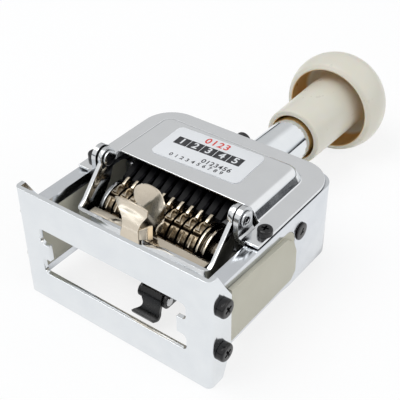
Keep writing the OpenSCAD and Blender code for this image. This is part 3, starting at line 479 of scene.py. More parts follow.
# Blackened spring steel, worn bright over the last of each tip, which rides on the wheels
def pawlSteel():
    material = plated("pawlSteel", "#C4B9A6", "#C4B9A6", 0.20, ripple=(0.03, 2.0))
    tree = material.node_tree
    tip, wear = 36.6, 0.5
    place = addNode(tree, "ShaderNodeTexCoord")
    axes = addNode(tree, "ShaderNodeSeparateXYZ", {0: place.outputs["Object"]})
    worn = addNode(tree, "ShaderNodeMapRange",
                   {0: axes.outputs["Y"], 1: (tip + faceY) * mm, 2: (tip + faceY + wear) * mm})
    return overlaid(material, worn, "#101012")


# Nickel-plated type wheels: bright figures and duller blocks, with painted shade turning the colour brown
# and dark down into the grooves
def wheelNickel():
    look = SimpleNamespace(
        inner=9.3, outer=11.0, shadeWobble=0.9, shadeWobbleSize=1.0, pits=(0.05, 0.8),
        grooveRough=0.40, figureRough=0.20,
        stops=[(0.0, "#2A221A"), (0.42, "#544737"), (0.6, "#9C8F7A"), (0.92, "#CFC4B2")])
    material, tree, shader, place = newMaterial("figureNickel")
    x, y, z = middle("number_wheel_1")
    local = addNode(tree, "ShaderNodeMapping", {0: place, 1: (0, -y, -z), 3: (0, 1, 1)})
    distance = addNode(tree, "ShaderNodeVectorMath", {0: local}, operation="LENGTH")
    noise = addNode(tree, "ShaderNodeTexNoise",
                    {"Vector": place, "Scale": 1 / (look.shadeWobbleSize * mm), "Detail": 3.0})
    spots = addNode(tree, "ShaderNodeMath", {0: noise, 1: 0.5}, operation="SUBTRACT")
    shadeWobble = addNode(tree, "ShaderNodeMath", {0: spots, 1: look.shadeWobble * mm}, operation="MULTIPLY")
    radius = addNode(tree, "ShaderNodeMath", {0: distance.outputs["Value"], 1: shadeWobble}, operation="ADD")
    # Painted shade: the colour darkens from the figure tops down to dark brown in the grooves, by distance
    # from the wheel's axis, its edge wobbled by noise
    height = addNode(tree, "ShaderNodeMapRange", {0: radius, 1: look.inner * mm, 2: look.outer * mm})
    tint = addNode(tree, "ShaderNodeValToRGB", {0: height})
    setStops(tint.color_ramp, look.stops)
    gloss = addNode(tree, "ShaderNodeMapRange", {0: height, 3: look.grooveRough, 4: look.figureRough})
    setInputs(tree, shader, {"Base Color": tint, "Roughness": gloss, "Metallic": 1.0})
    roughened(tree, shader, place, look.pits, 3.0)
    return material


# Wool felt soaked with ink: dull, dark blue-violet, with short fibres
def inkedFelt():
    material, tree, shader, place = newMaterial("inkedFelt")
    fibre = roughened(tree, shader, place, (0.12, 0.35), 6.0)
    tint = addNode(tree, "ShaderNodeMix", {0: fibre, 6: linear("#1B1A2C"), 7: linear("#34324A")},
                   data_type="RGBA")
    setInputs(tree, shader, {"Base Color": tint.outputs[2], "Roughness": 0.92})
    return material


paint = {
    # chromed sheet, buffed: a soft mirror with long faint waves
    "chrome": plated("polishedChromePlate", "#E9ECEE", "#DFE3E7", 0.12, ripple=(0.02, 11.0)),
    # chromed zinc casting: a mirror with the casting's short waves, with painted shade darkening its
    # recesses
    "castChrome": plated("chromedZincCasting", "#E2E5E9", "#D5D9DE", 0.13, haze=0.06, ripple=(0.06, 7.0),
                         hollowShade=0.93),
    # nickelled sheet, finely blasted: even pale grey with a broad soft shine
    "satin": plated("satinNickelSheet", "#ECEEF0", "#E5E7E9", 0.10, ripple=(0.02, 12.0),
                    grain=(0.004, 0.22)),
    # chromed steel, barrel polished: bright, wavy, with painted shade darkening it in recesses towards the
    # machine's inside
    "armChrome": plated("chromedSteelArm", "#DDDFE1", "#CFD1D3", 0.11, haze=0.08, ripple=(0.05, 4.0),
                        hollowShade=0.9),
    # chromed tube, ground before plating: the clearest mirror of all
    "tubeChrome": plated("chromedTube", "#E9ECEE", "#DFE3E7", 0.06, haze=0.04, ripple=(0.02, 14.0)),
    # bright nickel on thin sheet: a warm yellowish mirror, with painted shade darkening its recesses
    "warmNickel": plated("brightNickelSheet", "#DCD2C2", "#CBBFAC", 0.08, haze=0.06, ripple=(0.03, 6.0),
                         hollowShade=0.65),
    # bare steel off the lathe: grey, half dull
    "steel": plated("turnedSteel", "#C9CACB", "#B9BABB", 0.22, haze=0.08, ripple=(0.01, 5.0)),
    # bare brass off the lathe: yellow, half dull
    "brass": plated("turnedBrass", "#C9A45A", "#B8924C", 0.25, haze=0.08, ripple=(0.01, 5.0)),
    # raw zinc casting: dull mid grey with a sandy skin
    "castGrey": plated("castZinc", "#9A9C9E", "#85878A", 0.42, haze=0.08, ripple=(0.04, 2.5),
                       grain=(0.02, 0.5)),
    # blackened steel with oil on it: black with small sharp lights
    "blackOxide": moulded("blackOxideSteel", "#08070A", "#100F12", 0.12, texture=(0.02, 0.8), shine=0.4),
    # stoved black enamel: black with hardly any shine
    "combBlack": moulded("blackEnamel", "#08080A", "#101012", 0.42, texture=(0.012, 0.7), shine=0.12),
    # dipped black enamel: black with a soft wide shine
    "leverBlack": moulded("glossBlackEnamel", "#0A0A0C", "#131315", 0.24, texture=(0.01, 2.5),
                          shine=0.35),
    # moulded ABS with a fine spark texture: flat grey-beige
    "beige": moulded("beigeAbs", "#C9C6B6", "#C0BDAC", 0.46, texture=(0.02, 0.45)),
    # printed vinyl sticker: pale grey-white, half gloss, with a trace of orange peel
    "label": moulded("labelVinyl", "#E9EBED", "#E2E4E6", 0.30, texture=(0.004, 0.9)),
    # screen-printed ink: flat and even
    "ink": moulded("blackLabelInk", "#26262A", "#303034", 0.5, texture=(0.004, 0.5)),
    "redInk": moulded("redLabelInk", "#D8453C", "#CF3D35", 0.5, texture=(0.004, 0.5)),
    "pawls": pawlSteel(), "ivory": ivoryAbs(), "figures": wheelNickel(), "felt": inkedFelt(),
}
print("materials:", len(paint))


# Geometry Nodes for what repeats

def newTree(name, sockets):
    tree = bpy.data.node_groups.new(name, "GeometryNodeTree")
    tree.interface.new_socket(name="Geometry", in_out="INPUT", socket_type="NodeSocketGeometry")
    for label, kind in sockets.items():
        tree.interface.new_socket(name=label, in_out="INPUT", socket_type="NodeSocket" + kind)
    tree.interface.new_socket(name="Geometry", in_out="OUTPUT", socket_type="NodeSocketGeometry")
    return tree, addNode(tree, "NodeGroupInput").outputs


# Makes the copies real, adds what isn't copied and sets the material
def endTree(tree, given, copies, extra=None):
    result = addNode(tree, "GeometryNodeRealizeInstances", {0: copies}).outputs[0]
    if extra is not None:
        both = addNode(tree, "GeometryNodeJoinGeometry")
        tree.links.new(extra, both.inputs[0])
        tree.links.new(result, both.inputs[0])
        result = both.outputs[0]
    painted = addNode(tree, "GeometryNodeSetMaterial", {0: result, "Material": given["Material"]})
    addNode(tree, "NodeGroupOutput", {0: painted})
    return tree


def runTree(piece, tree, values):
    modifier = piece.modifiers.new(tree.name, "NODES")
    modifier.node_group = tree
    sockets = {item.name: item.identifier for item in tree.interface.items_tree
               if item.item_type == "SOCKET" and item.in_out == "INPUT"}
    for label, value in values.items():
        modifier[sockets[label]] = value
    return baked(piece)


# Puts a head on each vertex, its top along the vertex's facing
def screwTree():
    tree, given = newTree("screwsOnPoints", {"Head": "Object", "Turn": "Float", "Material": "Material"})
    head = addNode(tree, "GeometryNodeObjectInfo", {0: given["Head"]})
    facing = addNode(tree, "GeometryNodeInputNamedAttribute", {"Name": "facing"}, data_type="FLOAT_VECTOR")
    spin = addNode(tree, "ShaderNodeCombineXYZ", {"Z": given["Turn"]})
    start = addNode(tree, "FunctionNodeEulerToRotation", {0: spin})
    align = addNode(tree, "FunctionNodeAlignRotationToVector", {"Vector": facing}, axis="Z")
    whole = addNode(tree, "FunctionNodeRotateRotation", {0: align, 1: start}, rotation_space="LOCAL")
    copies = addNode(tree, "GeometryNodeInstanceOnPoints", {"Points": given["Geometry"], "Rotation": whole,
                                                            "Instance": head.outputs["Geometry"]})
    return endTree(tree, given, copies)


figureStep = 36  # degrees between figures


# Stands mirrored figures round a wheel, as on a stamp
def figureTree():
    tree, given = newTree("figuresOnWheel", {
        "Figures": "String", "Centre": "Vector", "Radius": "Float", "Height": "Float", "Size": "Float",
        "Narrow": "Float", "Start": "Float", "Material": "Material"})
    words = addNode(tree, "GeometryNodeStringToCurves", {"String": given["Figures"], "Size": given["Size"]},
                    pivot_mode="MIDPOINT")
    index = addNode(tree, "GeometryNodeInputIndex")
    step = addNode(tree, "ShaderNodeMath", {0: index, 1: math.radians(figureStep), 2: given["Start"]},
                   operation="MULTIPLY_ADD")
    angle = addNode(tree, "ShaderNodeCombineXYZ", {"X": step})
    turn = addNode(tree, "FunctionNodeEulerToRotation", {0: angle})
    onAxis = addNode(tree, "FunctionNodeCombineTransform", {0: given["Centre"], 1: turn})
    lift = addNode(tree, "ShaderNodeCombineXYZ", {"Z": given["Radius"]})
    mirror = addNode(tree, "ShaderNodeMath", {0: given["Narrow"], 1: -1.0}, operation="MULTIPLY")
    shape = addNode(tree, "ShaderNodeCombineXYZ", {"X": mirror, "Y": 1.0, "Z": 1.0})
    raised = addNode(tree, "FunctionNodeCombineTransform", {0: lift, 2: shape})
    away = addNode(tree, "ShaderNodeVectorMath", {0: words.outputs["Pivot Point"], "Scale": -1.0},
                   operation="SCALE")
    centred = addNode(tree, "FunctionNodeCombineTransform", {0: away})
    outer = addNode(tree, "FunctionNodeMatrixMultiply", {0: onAxis, 1: raised})
    whole = addNode(tree, "FunctionNodeMatrixMultiply", {0: outer, 1: centred})
    filled = addNode(tree, "GeometryNodeFillCurve", {0: words}, mode="NGONS")
    base = addNode(tree, "GeometryNodeFlipFaces", {0: filled})
    block = addNode(tree, "GeometryNodeExtrudeMesh",
                    {"Mesh": filled, "Offset Scale": given["Height"], "Individual": False})
    solid = addNode(tree, "GeometryNodeJoinGeometry")
    tree.links.new(block.outputs[0], solid.inputs[0])
    tree.links.new(base.outputs[0], solid.inputs[0])
    placed = addNode(tree, "GeometryNodeSetInstanceTransform", {"Instances": solid, "Transform": whole})
    real = addNode(tree, "GeometryNodeRealizeInstances", {0: placed})
    outward = addNode(tree, "GeometryNodeFlipFaces", {0: real})
    sealed = addNode(tree, "GeometryNodeMergeByDistance", {0: outward, "Distance": 0.001 * mm})
    return endTree(tree, given, sealed, given["Geometry"])


screws = screwTree()
figures = figureTree()
print("node trees built")


# Base plate, frame and liners keep the frame's shapes, with rolled and filed edges

softened("base_plate", "body", "chrome", edge=0.22)
softened("frame", "body", "castChrome", edge=0.45)
softened("slot_liner_left", "body", "beige", edge=0.6)
softened("slot_liner_right", "body", "beige", edge=0.6)
print("base plate, frame and liners")


# Cover: one pressed sheet with a steep plateau and two ears at the front, and a lug on each ear.
# topShare is what the press leaves of the sheet's thickness where it draws the plateau

coverSize = dict(
    halfWidth=41.2, frontY=30.1, rearY=83.5, cornerRadius=13.0, topZ=42.5, sheet=1.05, edge=0.3,
    earRows=(34.0, 38.0), earEdge=0.6, flangeShares=(0.0, 0.06, 0.3, 0.6, 0.9, 1.0), plateauFrontY=41.6,
    plateauRearY=75.2, plateauHalfWidth=33.3, plateauTopZ=47.2, plateauCorner=7.0, slope=63.5,
    rearSlope=59.0, footGap=0.6, footFillet=0.6, footSteps=5, topFillet=3.6, topSteps=8,
    topInsets=(0.8, 2.5), topCorner=2.6, leastCorner=0.3, topShare=0.7)
lugSize = dict(
    x=32.2, sheet=2.0, radius=4.3, bend=1.5, bendSteps=6, toe=1.2, neck=2.6, shoulder=1.5, pivotY=33.9,
    pivotZ=48.6, edge=0.25, columns=(-1, -0.6, 0, 0.6, 1))


# Points across the plateau's edge: how far inside its foot line, and how high over the flange
def slopeProfile(angle):
    c = SimpleNamespace(**coverSize)
    rise = c.plateauTopZ - c.topZ
    a = math.radians(angle)
    run = rise / math.tan(a)
    points = []
    for n in range(c.footSteps + 1):
        b = a * n / c.footSteps
        points.append((c.footFillet * (math.sin(b) - math.tan(a / 2)), c.footFillet * (1 - math.cos(b))))
    for n in range(c.topSteps + 1):
        b = a * (1 - n / c.topSteps)
        points.append((run + c.topFillet * (math.tan(a / 2) - math.sin(b)),
                       rise - c.topFillet * (1 - math.cos(b))))
    return points


# From the plateau's front line back along the left, round both rear corners and forward along the right
def uPath(halfWidth, rearY, radius, steps=12):
    frontY = coverSize["plateauFrontY"]
    radius = max(radius, coverSize["leastCorner"])
    middleY = (frontY + rearY - radius) / 2
    points = [(-halfWidth, frontY), (-halfWidth, middleY)]
    points += arc((radius - halfWidth, rearY - radius), radius, 180, 90, steps)
    points += arc((halfWidth - radius, rearY - radius), radius, 90, 0, steps)
    return points + [(halfWidth, middleY), (halfWidth, frontY)]


def coverSheet():
    c = SimpleNamespace(**coverSize)
    outer = uPath(c.halfWidth, c.rearY, c.cornerRadius)
    inner = uPath(c.plateauHalfWidth + c.footGap, c.plateauRearY + c.footGap,
                  c.plateauCorner + c.footGap)
    rings = [[(x0 + (x1 - x0) * share, y0 + (y1 - y0) * share, c.topZ)
              for (x0, y0), (x1, y1) in zip(outer, inner)] for share in c.flangeShares]
    sides = slopeProfile(c.slope)
    rears = slopeProfile(c.rearSlope)
    levels = [(inX, inY, c.plateauCorner - (inX + inY) / 2, c.topZ + high)
              for (inX, high), (inY, _) in zip(sides, rears)]
    levels += [(sides[-1][0] + inset, rears[-1][0] + inset, c.topCorner, c.plateauTopZ)
               for inset in c.topInsets]
    for inX, inY, corner, z in levels:
        rings.append([(x, y, z) for x, y in uPath(c.plateauHalfWidth - inX, c.plateauRearY - inY, corner)])
    bm = bmesh.new()
    verts = [[bm.verts.new(p) for p in ring] for ring in rings]
    skin(bm, verts)
    top = verts[-1]
    for k in range((len(top) - 1) // 2):  # the open middle of the plateau, from side to side
        bm.faces.new(list(dict.fromkeys([top[k], top[k + 1], top[-k - 2], top[-k - 1]])))
    for end in (0, -1):  # the ears
        column = [ring[end] for ring in verts[:len(c.flangeShares)]]
        rows = (c.frontY, c.frontY + c.earEdge) + c.earRows
        skin(bm, [[bm.verts.new((v.co.x, y, c.topZ)) for v in column] for y in rows] + [column])
    bmesh.ops.recalc_face_normals(bm, faces=bm.faces)
    if sum(face.normal.z for face in bm.faces) < 0:
        bmesh.ops.reverse_faces(bm, faces=bm.faces)
    piece = toObject("cover_sheet", bm)
    full = piece.vertex_groups.new(name="thick")
    for v in piece.data.vertices:
        raised = (v.co.z / mm - c.topZ) / (c.plateauTopZ - c.topZ)
        full.add([v.index], 1 - (1 - c.topShare) * smooth(raised * 2), "REPLACE")
    thickened(piece, c.sheet, -1.0).vertex_group = "thick"
    return baked(rounded(piece, c.edge, 3, 55))


# Each lug stands on its ear with a round bend, and ends in a half circle about the pivot
def coverLugs():
    s = SimpleNamespace(**lugSize)
    half = s.sheet / 2
    turn = half + s.bend
    flangeZ = coverSize["topZ"]
    path = [(s.x + turn + s.toe, flangeZ - half)]
    path += arc((s.x + turn, flangeZ - half + turn), turn, 270, 180, s.bendSteps)
    rise = [flangeZ + s.neck, s.pivotZ - s.shoulder]
    rise += [s.pivotZ + s.radius * math.sin(math.radians(a)) for a in range(0, 91, 10)]
    path += [(path[-1][0], z) for z in rise if z > path[-1][1] + 0.1]
    bm = bmesh.new()
    for side in (-1, 1):
        rows = []
        for x, z in path:
            over = max(z - s.pivotZ, 0.0)
            reach = math.sqrt(max(s.radius ** 2 - over ** 2, 0.05))  # never quite a point
            rows.append([bm.verts.new((side * x, s.pivotY + reach * c, z)) for c in s.columns])
        skin(bm, rows if side > 0 else rows[::-1])
    piece = toObject("cover_lugs", bm)
    thickened(piece, s.sheet)
    return baked(rounded(piece, s.edge, 3, 50))


finishPiece(coverSheet(), "body", "satin", ["cover"])
finishPiece(coverLugs(), "body", "armChrome")
print("cover")


# Label: a pale sticker with plain numbers only, five in black boxes, two small rows and a red row.
# swell is a share of a figure's size and makes its strokes bolder

labelSize = dict(
    centre=(-1.2, 58.9), topZ=47.5, turn=2.5, print=0.03, edge=0.08, boxHalf=(2.86, 2.45), boxY=1.7,
    boxX=-0.7, boxPitch=6.0, boxFigure=5.0, boxPrint=0.048, swell=0.02,
    rows=[dict(size=3.4, at=(7.1, -4.9), figures="0123456", spacing=1.1, finish="ink"),
          dict(size=2.7, at=(-0.2, -7.7), figures="0123456789", spacing=1.85, finish="ink"),
          dict(size=4.9, at=(-0.2, 7.2), figures="0123", spacing=1.15, finish="redInk")])


# Figures made mesh, standing from low to high
def digits(text, size, at, low, high, spacing=1.0):
    curve = bpy.data.curves.new("digits", "FONT")
    curve.body = text
    curve.size = size
    curve.align_x = "CENTER"
    curve.align_y = "CENTER"
    curve.space_character = spacing
    curve.extrude = (high - low) / 2
    curve.offset = labelSize["swell"] * size
    holder = newObject("digits", curve)
    mesh = bpy.data.meshes.new_from_object(holder.evaluated_get(bpy.context.evaluated_depsgraph_get()))
    bpy.data.objects.remove(holder)
    bm = bmesh.new()
    bm.from_mesh(mesh)
    bpy.data.meshes.remove(mesh)
    bm.transform(Matrix.Translation((at[0], at[1], (low + high) / 2)))
    return bm


def labelPrint():
    s = SimpleNamespace(**labelSize)
    place = Matrix.Translation((*s.centre, s.topZ)) @ Matrix.Rotation(math.radians(s.turn), 4, "Z")
    layers = {"label_boxes": ("ink", []), "label_digits": ("label", []), "label_red": ("redInk", [])}
    for k in range(5):
        x = s.boxPitch * (k - 2) + s.boxX
        layers["label_boxes"][1].append(plate(rectangle(x, s.boxY, *s.boxHalf), 0, s.print, "Z"))
        layers["label_digits"][1].append(digits(str(k + 1), s.boxFigure, (x, s.boxY), s.print,
                                                s.boxPrint))
    for row in s.rows:
        layer = "label_red" if row["finish"] == "redInk" else "label_boxes"
        layers[layer][1].append(digits(row["figures"], row["size"], row["at"], 0, s.print, row["spacing"]))
    for name, (finish, parts) in layers.items():
        bm = joined(parts)
        bm.transform(place)
        finishPiece(toObject(name, bm), "body", finish)


softened("label_plate", "body", "label", edge=labelSize["edge"], segments=2)
labelPrint()
print("label")


# Screws: one cross-recessed head for each size, copied to its places. A place is the seat's x, y and z,
# and which way the head looks along the axis

screwSizes = {
    "base_screws": dict(radius=3.5, height=2.6, length=4.5, turn=25, axis="X", at=[
        (43.3, 6.3, 35.0, 1), (43.3, 6.3, 14.8, 1), (-43.3, 6.3, 35.0, -1), (-43.3, 6.3, 14.8, -1)]),
    "side_screws": dict(radius=3.4, height=0.6, length=4.0, turn=50, axis="X", at=[
        (41.5, 57.8, 31.4, 1), (-41.5, 57.8, 31.4, -1)]),
    "cover_screws": dict(radius=2.8, height=2.4, length=4.6, turn=10, axis="Z", at=[
        (39.0, 37.4, 42.5, 1), (-39.0, 37.4, 42.5, 1)]),
    "rear_screw": dict(radius=3.6, height=2.2, length=6.4, turn=15, axis="Y", at=[(-2.9, 83.8, 38.9, 1)]),
}
# Shares are of the head's radius, height or rim
headShape = dict(
    shank=1.5, tipEdge=0.3, seatEdge=0.15, rim=0.9, rimShare=0.4, crownRadius=0.45, recessReach=0.58,
    recessHalf=0.13, recessShare=0.5, recessDepth=1.3, recessTaper=0.62, rimDrop=0.8,
    crownRises=(0.12, 0.16), edge=0.12)


# Cheese head with a rounded rim and a cross recess, its seat at z 0
def screwHead(name, size):
    s = SimpleNamespace(**headShape)
    r, h, end = size["radius"], size["height"], -size["length"]
    rim = min(s.rim, h * s.rimShare)
    profile = [(0, end), (s.shank - s.tipEdge, end), (s.shank, s.tipEdge + end), (s.shank, 0),
               (r - s.seatEdge, 0), (r, s.seatEdge)]
    profile += arc((r - rim, h - rim * s.rimDrop), rim, 0, 80, 6)
    profile += [(r * s.crownRadius, h + s.crownRises[0] * rim), (0, h + s.crownRises[1] * rim)]
    head = toObject(name + "_head", lathe(profile, "Z", (0, 0, 0), 48), inMillimetres=False)
    floorZ = h - min(h * s.recessShare, s.recessDepth)
    cutters = []
    for angle in (0, 90):
        cut = plate(rectangle(0, 0, r * s.recessReach, r * s.recessHalf), floorZ, h + 1, "Z")
        for v in cut.verts:
            if v.co.z < floorZ + 0.01:
                v.co.x *= s.recessTaper
        cut.transform(Matrix.Rotation(math.radians(angle), 4, "Z"))
        cutter = toObject(f"{name}_cut_{angle}", cut, inMillimetres=False)
        cutter.hide_render = True
        cutters.append(cutter)
    for cutter in cutters:
        hole = head.modifiers.new("recess", "BOOLEAN")
        hole.object = cutter
        hole.solver = "EXACT"
    baked(rounded(head, s.edge, 2, 40, unit=1))
    for cutter in cutters:
        bpy.data.objects.remove(cutter)
    head.data.transform(Matrix.Scale(mm, 4))
    return head


def screwSet(name, size):
    head = screwHead(name, size)
    mesh = bpy.data.meshes.new(name + "_finished")
    mesh.from_pydata([(x * mm, (y + faceY) * mm, z * mm) for x, y, z, _ in size["at"]], [], [])
    facing = mesh.attributes.new("facing", "FLOAT_VECTOR", "POINT")
    for n, place in enumerate(size["at"]):
        facing.data[n].vector = Vector(across(size["axis"], 0, 0, 1)) * place[3]
    piece = newObject(name + "_finished", mesh)
    turn = math.radians(size["turn"])
    runTree(piece, screws, {"Head": head, "Turn": turn, "Material": paint["blackOxide"]})
    bpy.data.objects.remove(head)
    finishPiece(piece, "body", "blackOxide", [name])


for screwName, screwSize in screwSizes.items():
    screwSet(screwName, screwSize)
print("screws")


# Knob: ivory dome over a sleeve, turned as one profile

knobSize = dict(
    axisZ=23.4, domeY=158.0, domeRadius=23.2, domeLength=19.2, openY=149.3, wall=2.2, rimRound=0.75,
    recess=15.0, recessStart=0.8, recessEnd=1.0, recessRound=1.6, mouthY=119.3, mouthRadius=12.9,
    mouthRound=0.9, rootRadius=13.8, rootFoot=1.2, rootRound=1.4, bore=10.5, boreRound=0.4, boreEndY=168.0,
    boreEdge=12.0, domeSteps=32, domeStop=2, recessSteps=12, rootSteps=8)


def knobProfile():
    k = SimpleNamespace(**knobSize)
    start = math.asin((k.openY - k.domeY) / k.domeLength)
    points = [(0.0, k.domeY + k.domeLength)]
    for n in range(1, k.domeSteps + 1):
        a = math.radians(90 - (90 - math.degrees(start) - k.domeStop) * n / k.domeSteps)
        points.append((k.domeRadius * math.cos(a), k.domeY + k.domeLength * math.sin(a)))
    rimRadius = k.domeRadius * math.cos(start)
    points += arc((rimRadius - k.wall / 2, k.openY + k.rimRound), k.rimRound, -20, -160, 8)
    inner = k.domeRadius - k.wall
    depth = k.recess - k.recessStart - k.recessEnd
    for n in range(1, k.recessSteps + 1):
        y = k.openY + k.recessStart + depth * n / k.recessSteps
        points.append((inner * math.sqrt(1 - ((y - k.domeY) / k.domeLength) ** 2), y))
    floorY = k.openY + k.recess
    points += [(points[-1][0] - k.recessRound, floorY), (k.rootRadius + k.rootFoot, floorY)]
    rootY, mouthY = floorY - k.rootRound, k.mouthY + k.mouthRound
    for n in range(k.rootSteps + 1):
        points.append((k.rootRadius + (k.mouthRadius - k.rootRadius) * n / k.rootSteps,
                       rootY + (mouthY - rootY) * n / k.rootSteps))
    points += arc((k.mouthRadius - k.mouthRound, mouthY), k.mouthRound, 0, -90, 6)[1:]
    points += arc((k.bore + k.boreRound, k.mouthY + k.boreRound), k.boreRound, -90, -180, 4)
    points += [(k.bore, k.mouthY + k.boreEdge), (k.bore, k.boreEndY - k.boreEdge)]
    return points + [(k.bore, k.boreEndY), (0.0, k.boreEndY)]


knob = toObject("knob_finished", lathe(knobProfile(), "Y", (0, 0, knobSize["axisZ"]), 128))
finishPiece(knob, "head", "ivory", ["knob"])
print("knob")


# Guide tube, bush, rod, collar and spring behind the frame

softened("guide_tube", "body", "tubeChrome", edge=0.4)
softened("rod_bush", "body", "brass", edge=0.2)
softened("plunger_rod", "head", "steel", edge=0.3)
softened("rod_collar", "head", "steel", edge=0.2)


# The spring stands between the rod's collar and the bush, so it shortens by the head's travel
def returnSpring():
    bm = bmesh.new()
    bm.from_mesh(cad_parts["return_spring"].data)
    coil = toObject("return_spring_finished", bm, inMillimetres=False)
    finishPiece(coil, "head", "steel", ["return_spring"])
    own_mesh(coil)


returnSpring()
print("tube, rod and spring")


# Ink arms, their pivots and the pad tray

softened("ink_arms", "arms", "armChrome", edge=0.35)
softened("arm_pivot_screws", "body", "armChrome", edge=0.18, segments=2)
softened("pad_holder", "pad", "warmNickel", edge=0.15)
softened("ink_pad", "pad", "felt", edge=0.5)
print("arms and pad")


# Finger tabs: thin bright sheets. Rows give height, y of the middle, left edge and right edge

spoon = dict(
    foot=34.1, footRise=2.2, waist=39.4, waistDrop=1.2, top=53.7, widestShare=0.53, neck=4.2, half=7.9,
    tip=0.15, y=24.3, lowerSteps=9, upperSteps=14)


def spoonRows():  # a round spoon on a straight neck
    s = SimpleNamespace(**spoon)
    heights = [(s.foot, s.neck), (s.foot + s.footRise, s.neck),
               (s.waist - s.waistDrop, s.neck)]
    widest = s.waist + (s.top - s.waist) * s.widestShare
    for n in range(1, s.lowerSteps + 1):
        share = n / s.lowerSteps
        heights.append((s.waist + (widest - s.waist) * share,
                        s.neck + (s.half - s.neck) * math.sin(math.pi / 2 * smooth(share))))
    for n in range(1, s.upperSteps + 1):
        a = math.pi / 2 * n / s.upperSteps
        heights.append((widest + (s.top - widest) * math.sin(a), max(s.half * math.cos(a), s.tip)))
    return [(z, s.y, -width, width) for z, width in heights]


tabs = {
    "front_finger_tab": dict(body="pad", sheet=0.7, cup=-0.5, cupWidth=14.0, arch=1.5, curlRate=1.6,
                             curlStart=0.4, rows=[
        (32.4, 15.2, -7.6, 1.0), (35.7, 15.2, -7.3, 1.1), (38.0, 15.2, -6.6, 1.15), (40.1, 15.0, -6.0, 1.4),
        (43.2, 14.6, -5.5, 2.7), (46.7, 13.9, -5.7, 4.9), (50.0, 13.1, -6.2, 7.2), (53.1, 12.5, -6.4, 8.1)]),
    # leans forward past its crease, until it reaches footY
    "rear_finger_tab": dict(body="rear_tab", sheet=0.5, creaseX=1.7, creaseZ=50.0, creaseTurn=-37.0,
                            creaseRound=0.5, lean=0.34, footY=21.6, rows=spoonRows()),
}
tabSteps = (75, 20)

# Folds beside the tabs, each between two edge lines of x, y and height
folds = {
    "front_tab_hook": dict(body="pad",
                           near=[(1.0, 15.3, 40.2), (1.0, 15.3, 38.0), (1.0, 15.3, 35.9)],
                           far=[(3.3, 20.4, 40.2), (3.2, 20.3, 37.5), (3.1, 20.2, 33.8)]),
    "rear_tab_fold": dict(body="rear_tab",
                          near=[(6.3, 23.2, 43.0), (4.4, 22.9, 40.0), (4.2, 22.3, 37.5), (4.2, 22.0, 35.9)],
                          far=[(6.9, 21.7, 42.3), (5.2, 21.2, 39.9), (4.2, 21.0, 37.5), (4.0, 20.9, 35.9)]),
}
foldSteps = (16, 4)
foldSheet = 0.7


def curledPoint(t, x, y, z, side, width):  # cupped towards the rim and arched from edge to edge
    foot, top = t.rows[0][0], t.rows[-1][0]
    rim = smooth((z - foot) / (top - foot) * t.curlRate - t.curlStart)
    return (x, y - t.cup * rim * (side * width / t.cupWidth) ** 2, z + t.arch * rim * (1 - side * side))


def creasedPoint(t, x, y, z):
    turn = math.radians(t.creaseTurn)
    past = (x - t.creaseX) * math.cos(turn) + (z - t.creaseZ) * math.sin(turn)
    past = (past + math.hypot(past, t.creaseRound)) / 2
    return (x, y - min(t.lean * past, y - t.footY), z)


def fingerTab(name, tab):
    t = SimpleNamespace(**tab)
    rowCount, columnCount = tabSteps
    grid = []
    for r in range(rowCount + 1):
        z, y, left, right = curveThrough(t.rows, r, rowCount)
        line = []
        for c in range(columnCount + 1):
            side = 2 * c / columnCount - 1
            x = left + (right - left) * (side + 1) / 2
            line.append(creasedPoint(t, x, y, z) if "lean" in tab
                        else curledPoint(t, x, y, z, side, right - left))
        grid.append(line)
    sheetMetal(name + "_finished", grid, t.sheet, t.body, [name])


def tabFold(name, fold):
    lengthSteps, widthSteps = foldSteps
    grid = []
    for n in range(lengthSteps + 1):
        near, far = (curveThrough(fold[edge], n, lengthSteps) for edge in ("near", "far"))
        grid.append([tuple(p + (q - p) * k / widthSteps for p, q in zip(near, far))
                     for k in range(widthSteps + 1)])
    sheetMetal(name, grid, foldSheet, fold["body"])


for tabName, tabValues in tabs.items():
    fingerTab(tabName, tabValues)
for foldName, foldValues in folds.items():
    tabFold(foldName, foldValues)
print("finger tabs")


# Number wheels: type blocks with grooves between them, a mirrored figure on each, and a ratchet

wheelSize = dict(
    first=15.0, pitch=4.3, count=10, y=34.5, z=26.5, bore=3.05, ringWidth=3.3, radius=11.0,
    figureHeight=0.75, figureSink=0.1, figureSize=6.6, narrow=0.66, figures="0987654321", firstAngle=81.0,
    edge=0.07, grooveRadius=9.4, blockEdge=0.15, blockHalf=15.0, blockAngles=(-13.5, -5.0, 5.0, 13.5),
    ratchetRadius=8.6, ratchetEnd=2.5, toothDepth=1.9, toothAngles=(-14, -12, 20), hubDepth=1.3,
    hubSink=0.1, toothSink=0.2)


# Blocks round the shaft's bore, with a V-groove between each two
def typeBlocks(x):
    w = SimpleNamespace(**wheelSize)
    top = w.radius - w.figureHeight
    shoulder = top - w.blockEdge
    outline = []
    for k in range(360 // figureStep):
        middleAngle = w.firstAngle + figureStep * k
        outline += [(w.grooveRadius, middleAngle - figureStep / 2), (shoulder, middleAngle - w.blockHalf)]
        outline += [(top, middleAngle + a) for a in w.blockAngles]
        outline += [(shoulder, middleAngle + w.blockHalf)]
    bm = bmesh.new()
    loops = []
    for side in (-w.ringWidth / 2, w.ringWidth / 2):
        outer, inner = [], []
        for radius, angle in outline:
            a = math.radians(angle)
            for loop, r in ((outer, radius), (inner, w.bore)):
                loop.append(bm.verts.new((x + side, w.y - r * math.sin(a), w.z + r * math.cos(a))))
        loops += [outer, inner]
    for first, second in ((0, 1), (1, 3), (3, 2), (2, 0)):
        for k in range(len(outline)):
            n = (k + 1) % len(outline)
            bm.faces.new((loops[first][k], loops[first][n], loops[second][n], loops[second][k]))
    bmesh.ops.recalc_face_normals(bm, faces=bm.faces)
    return bm


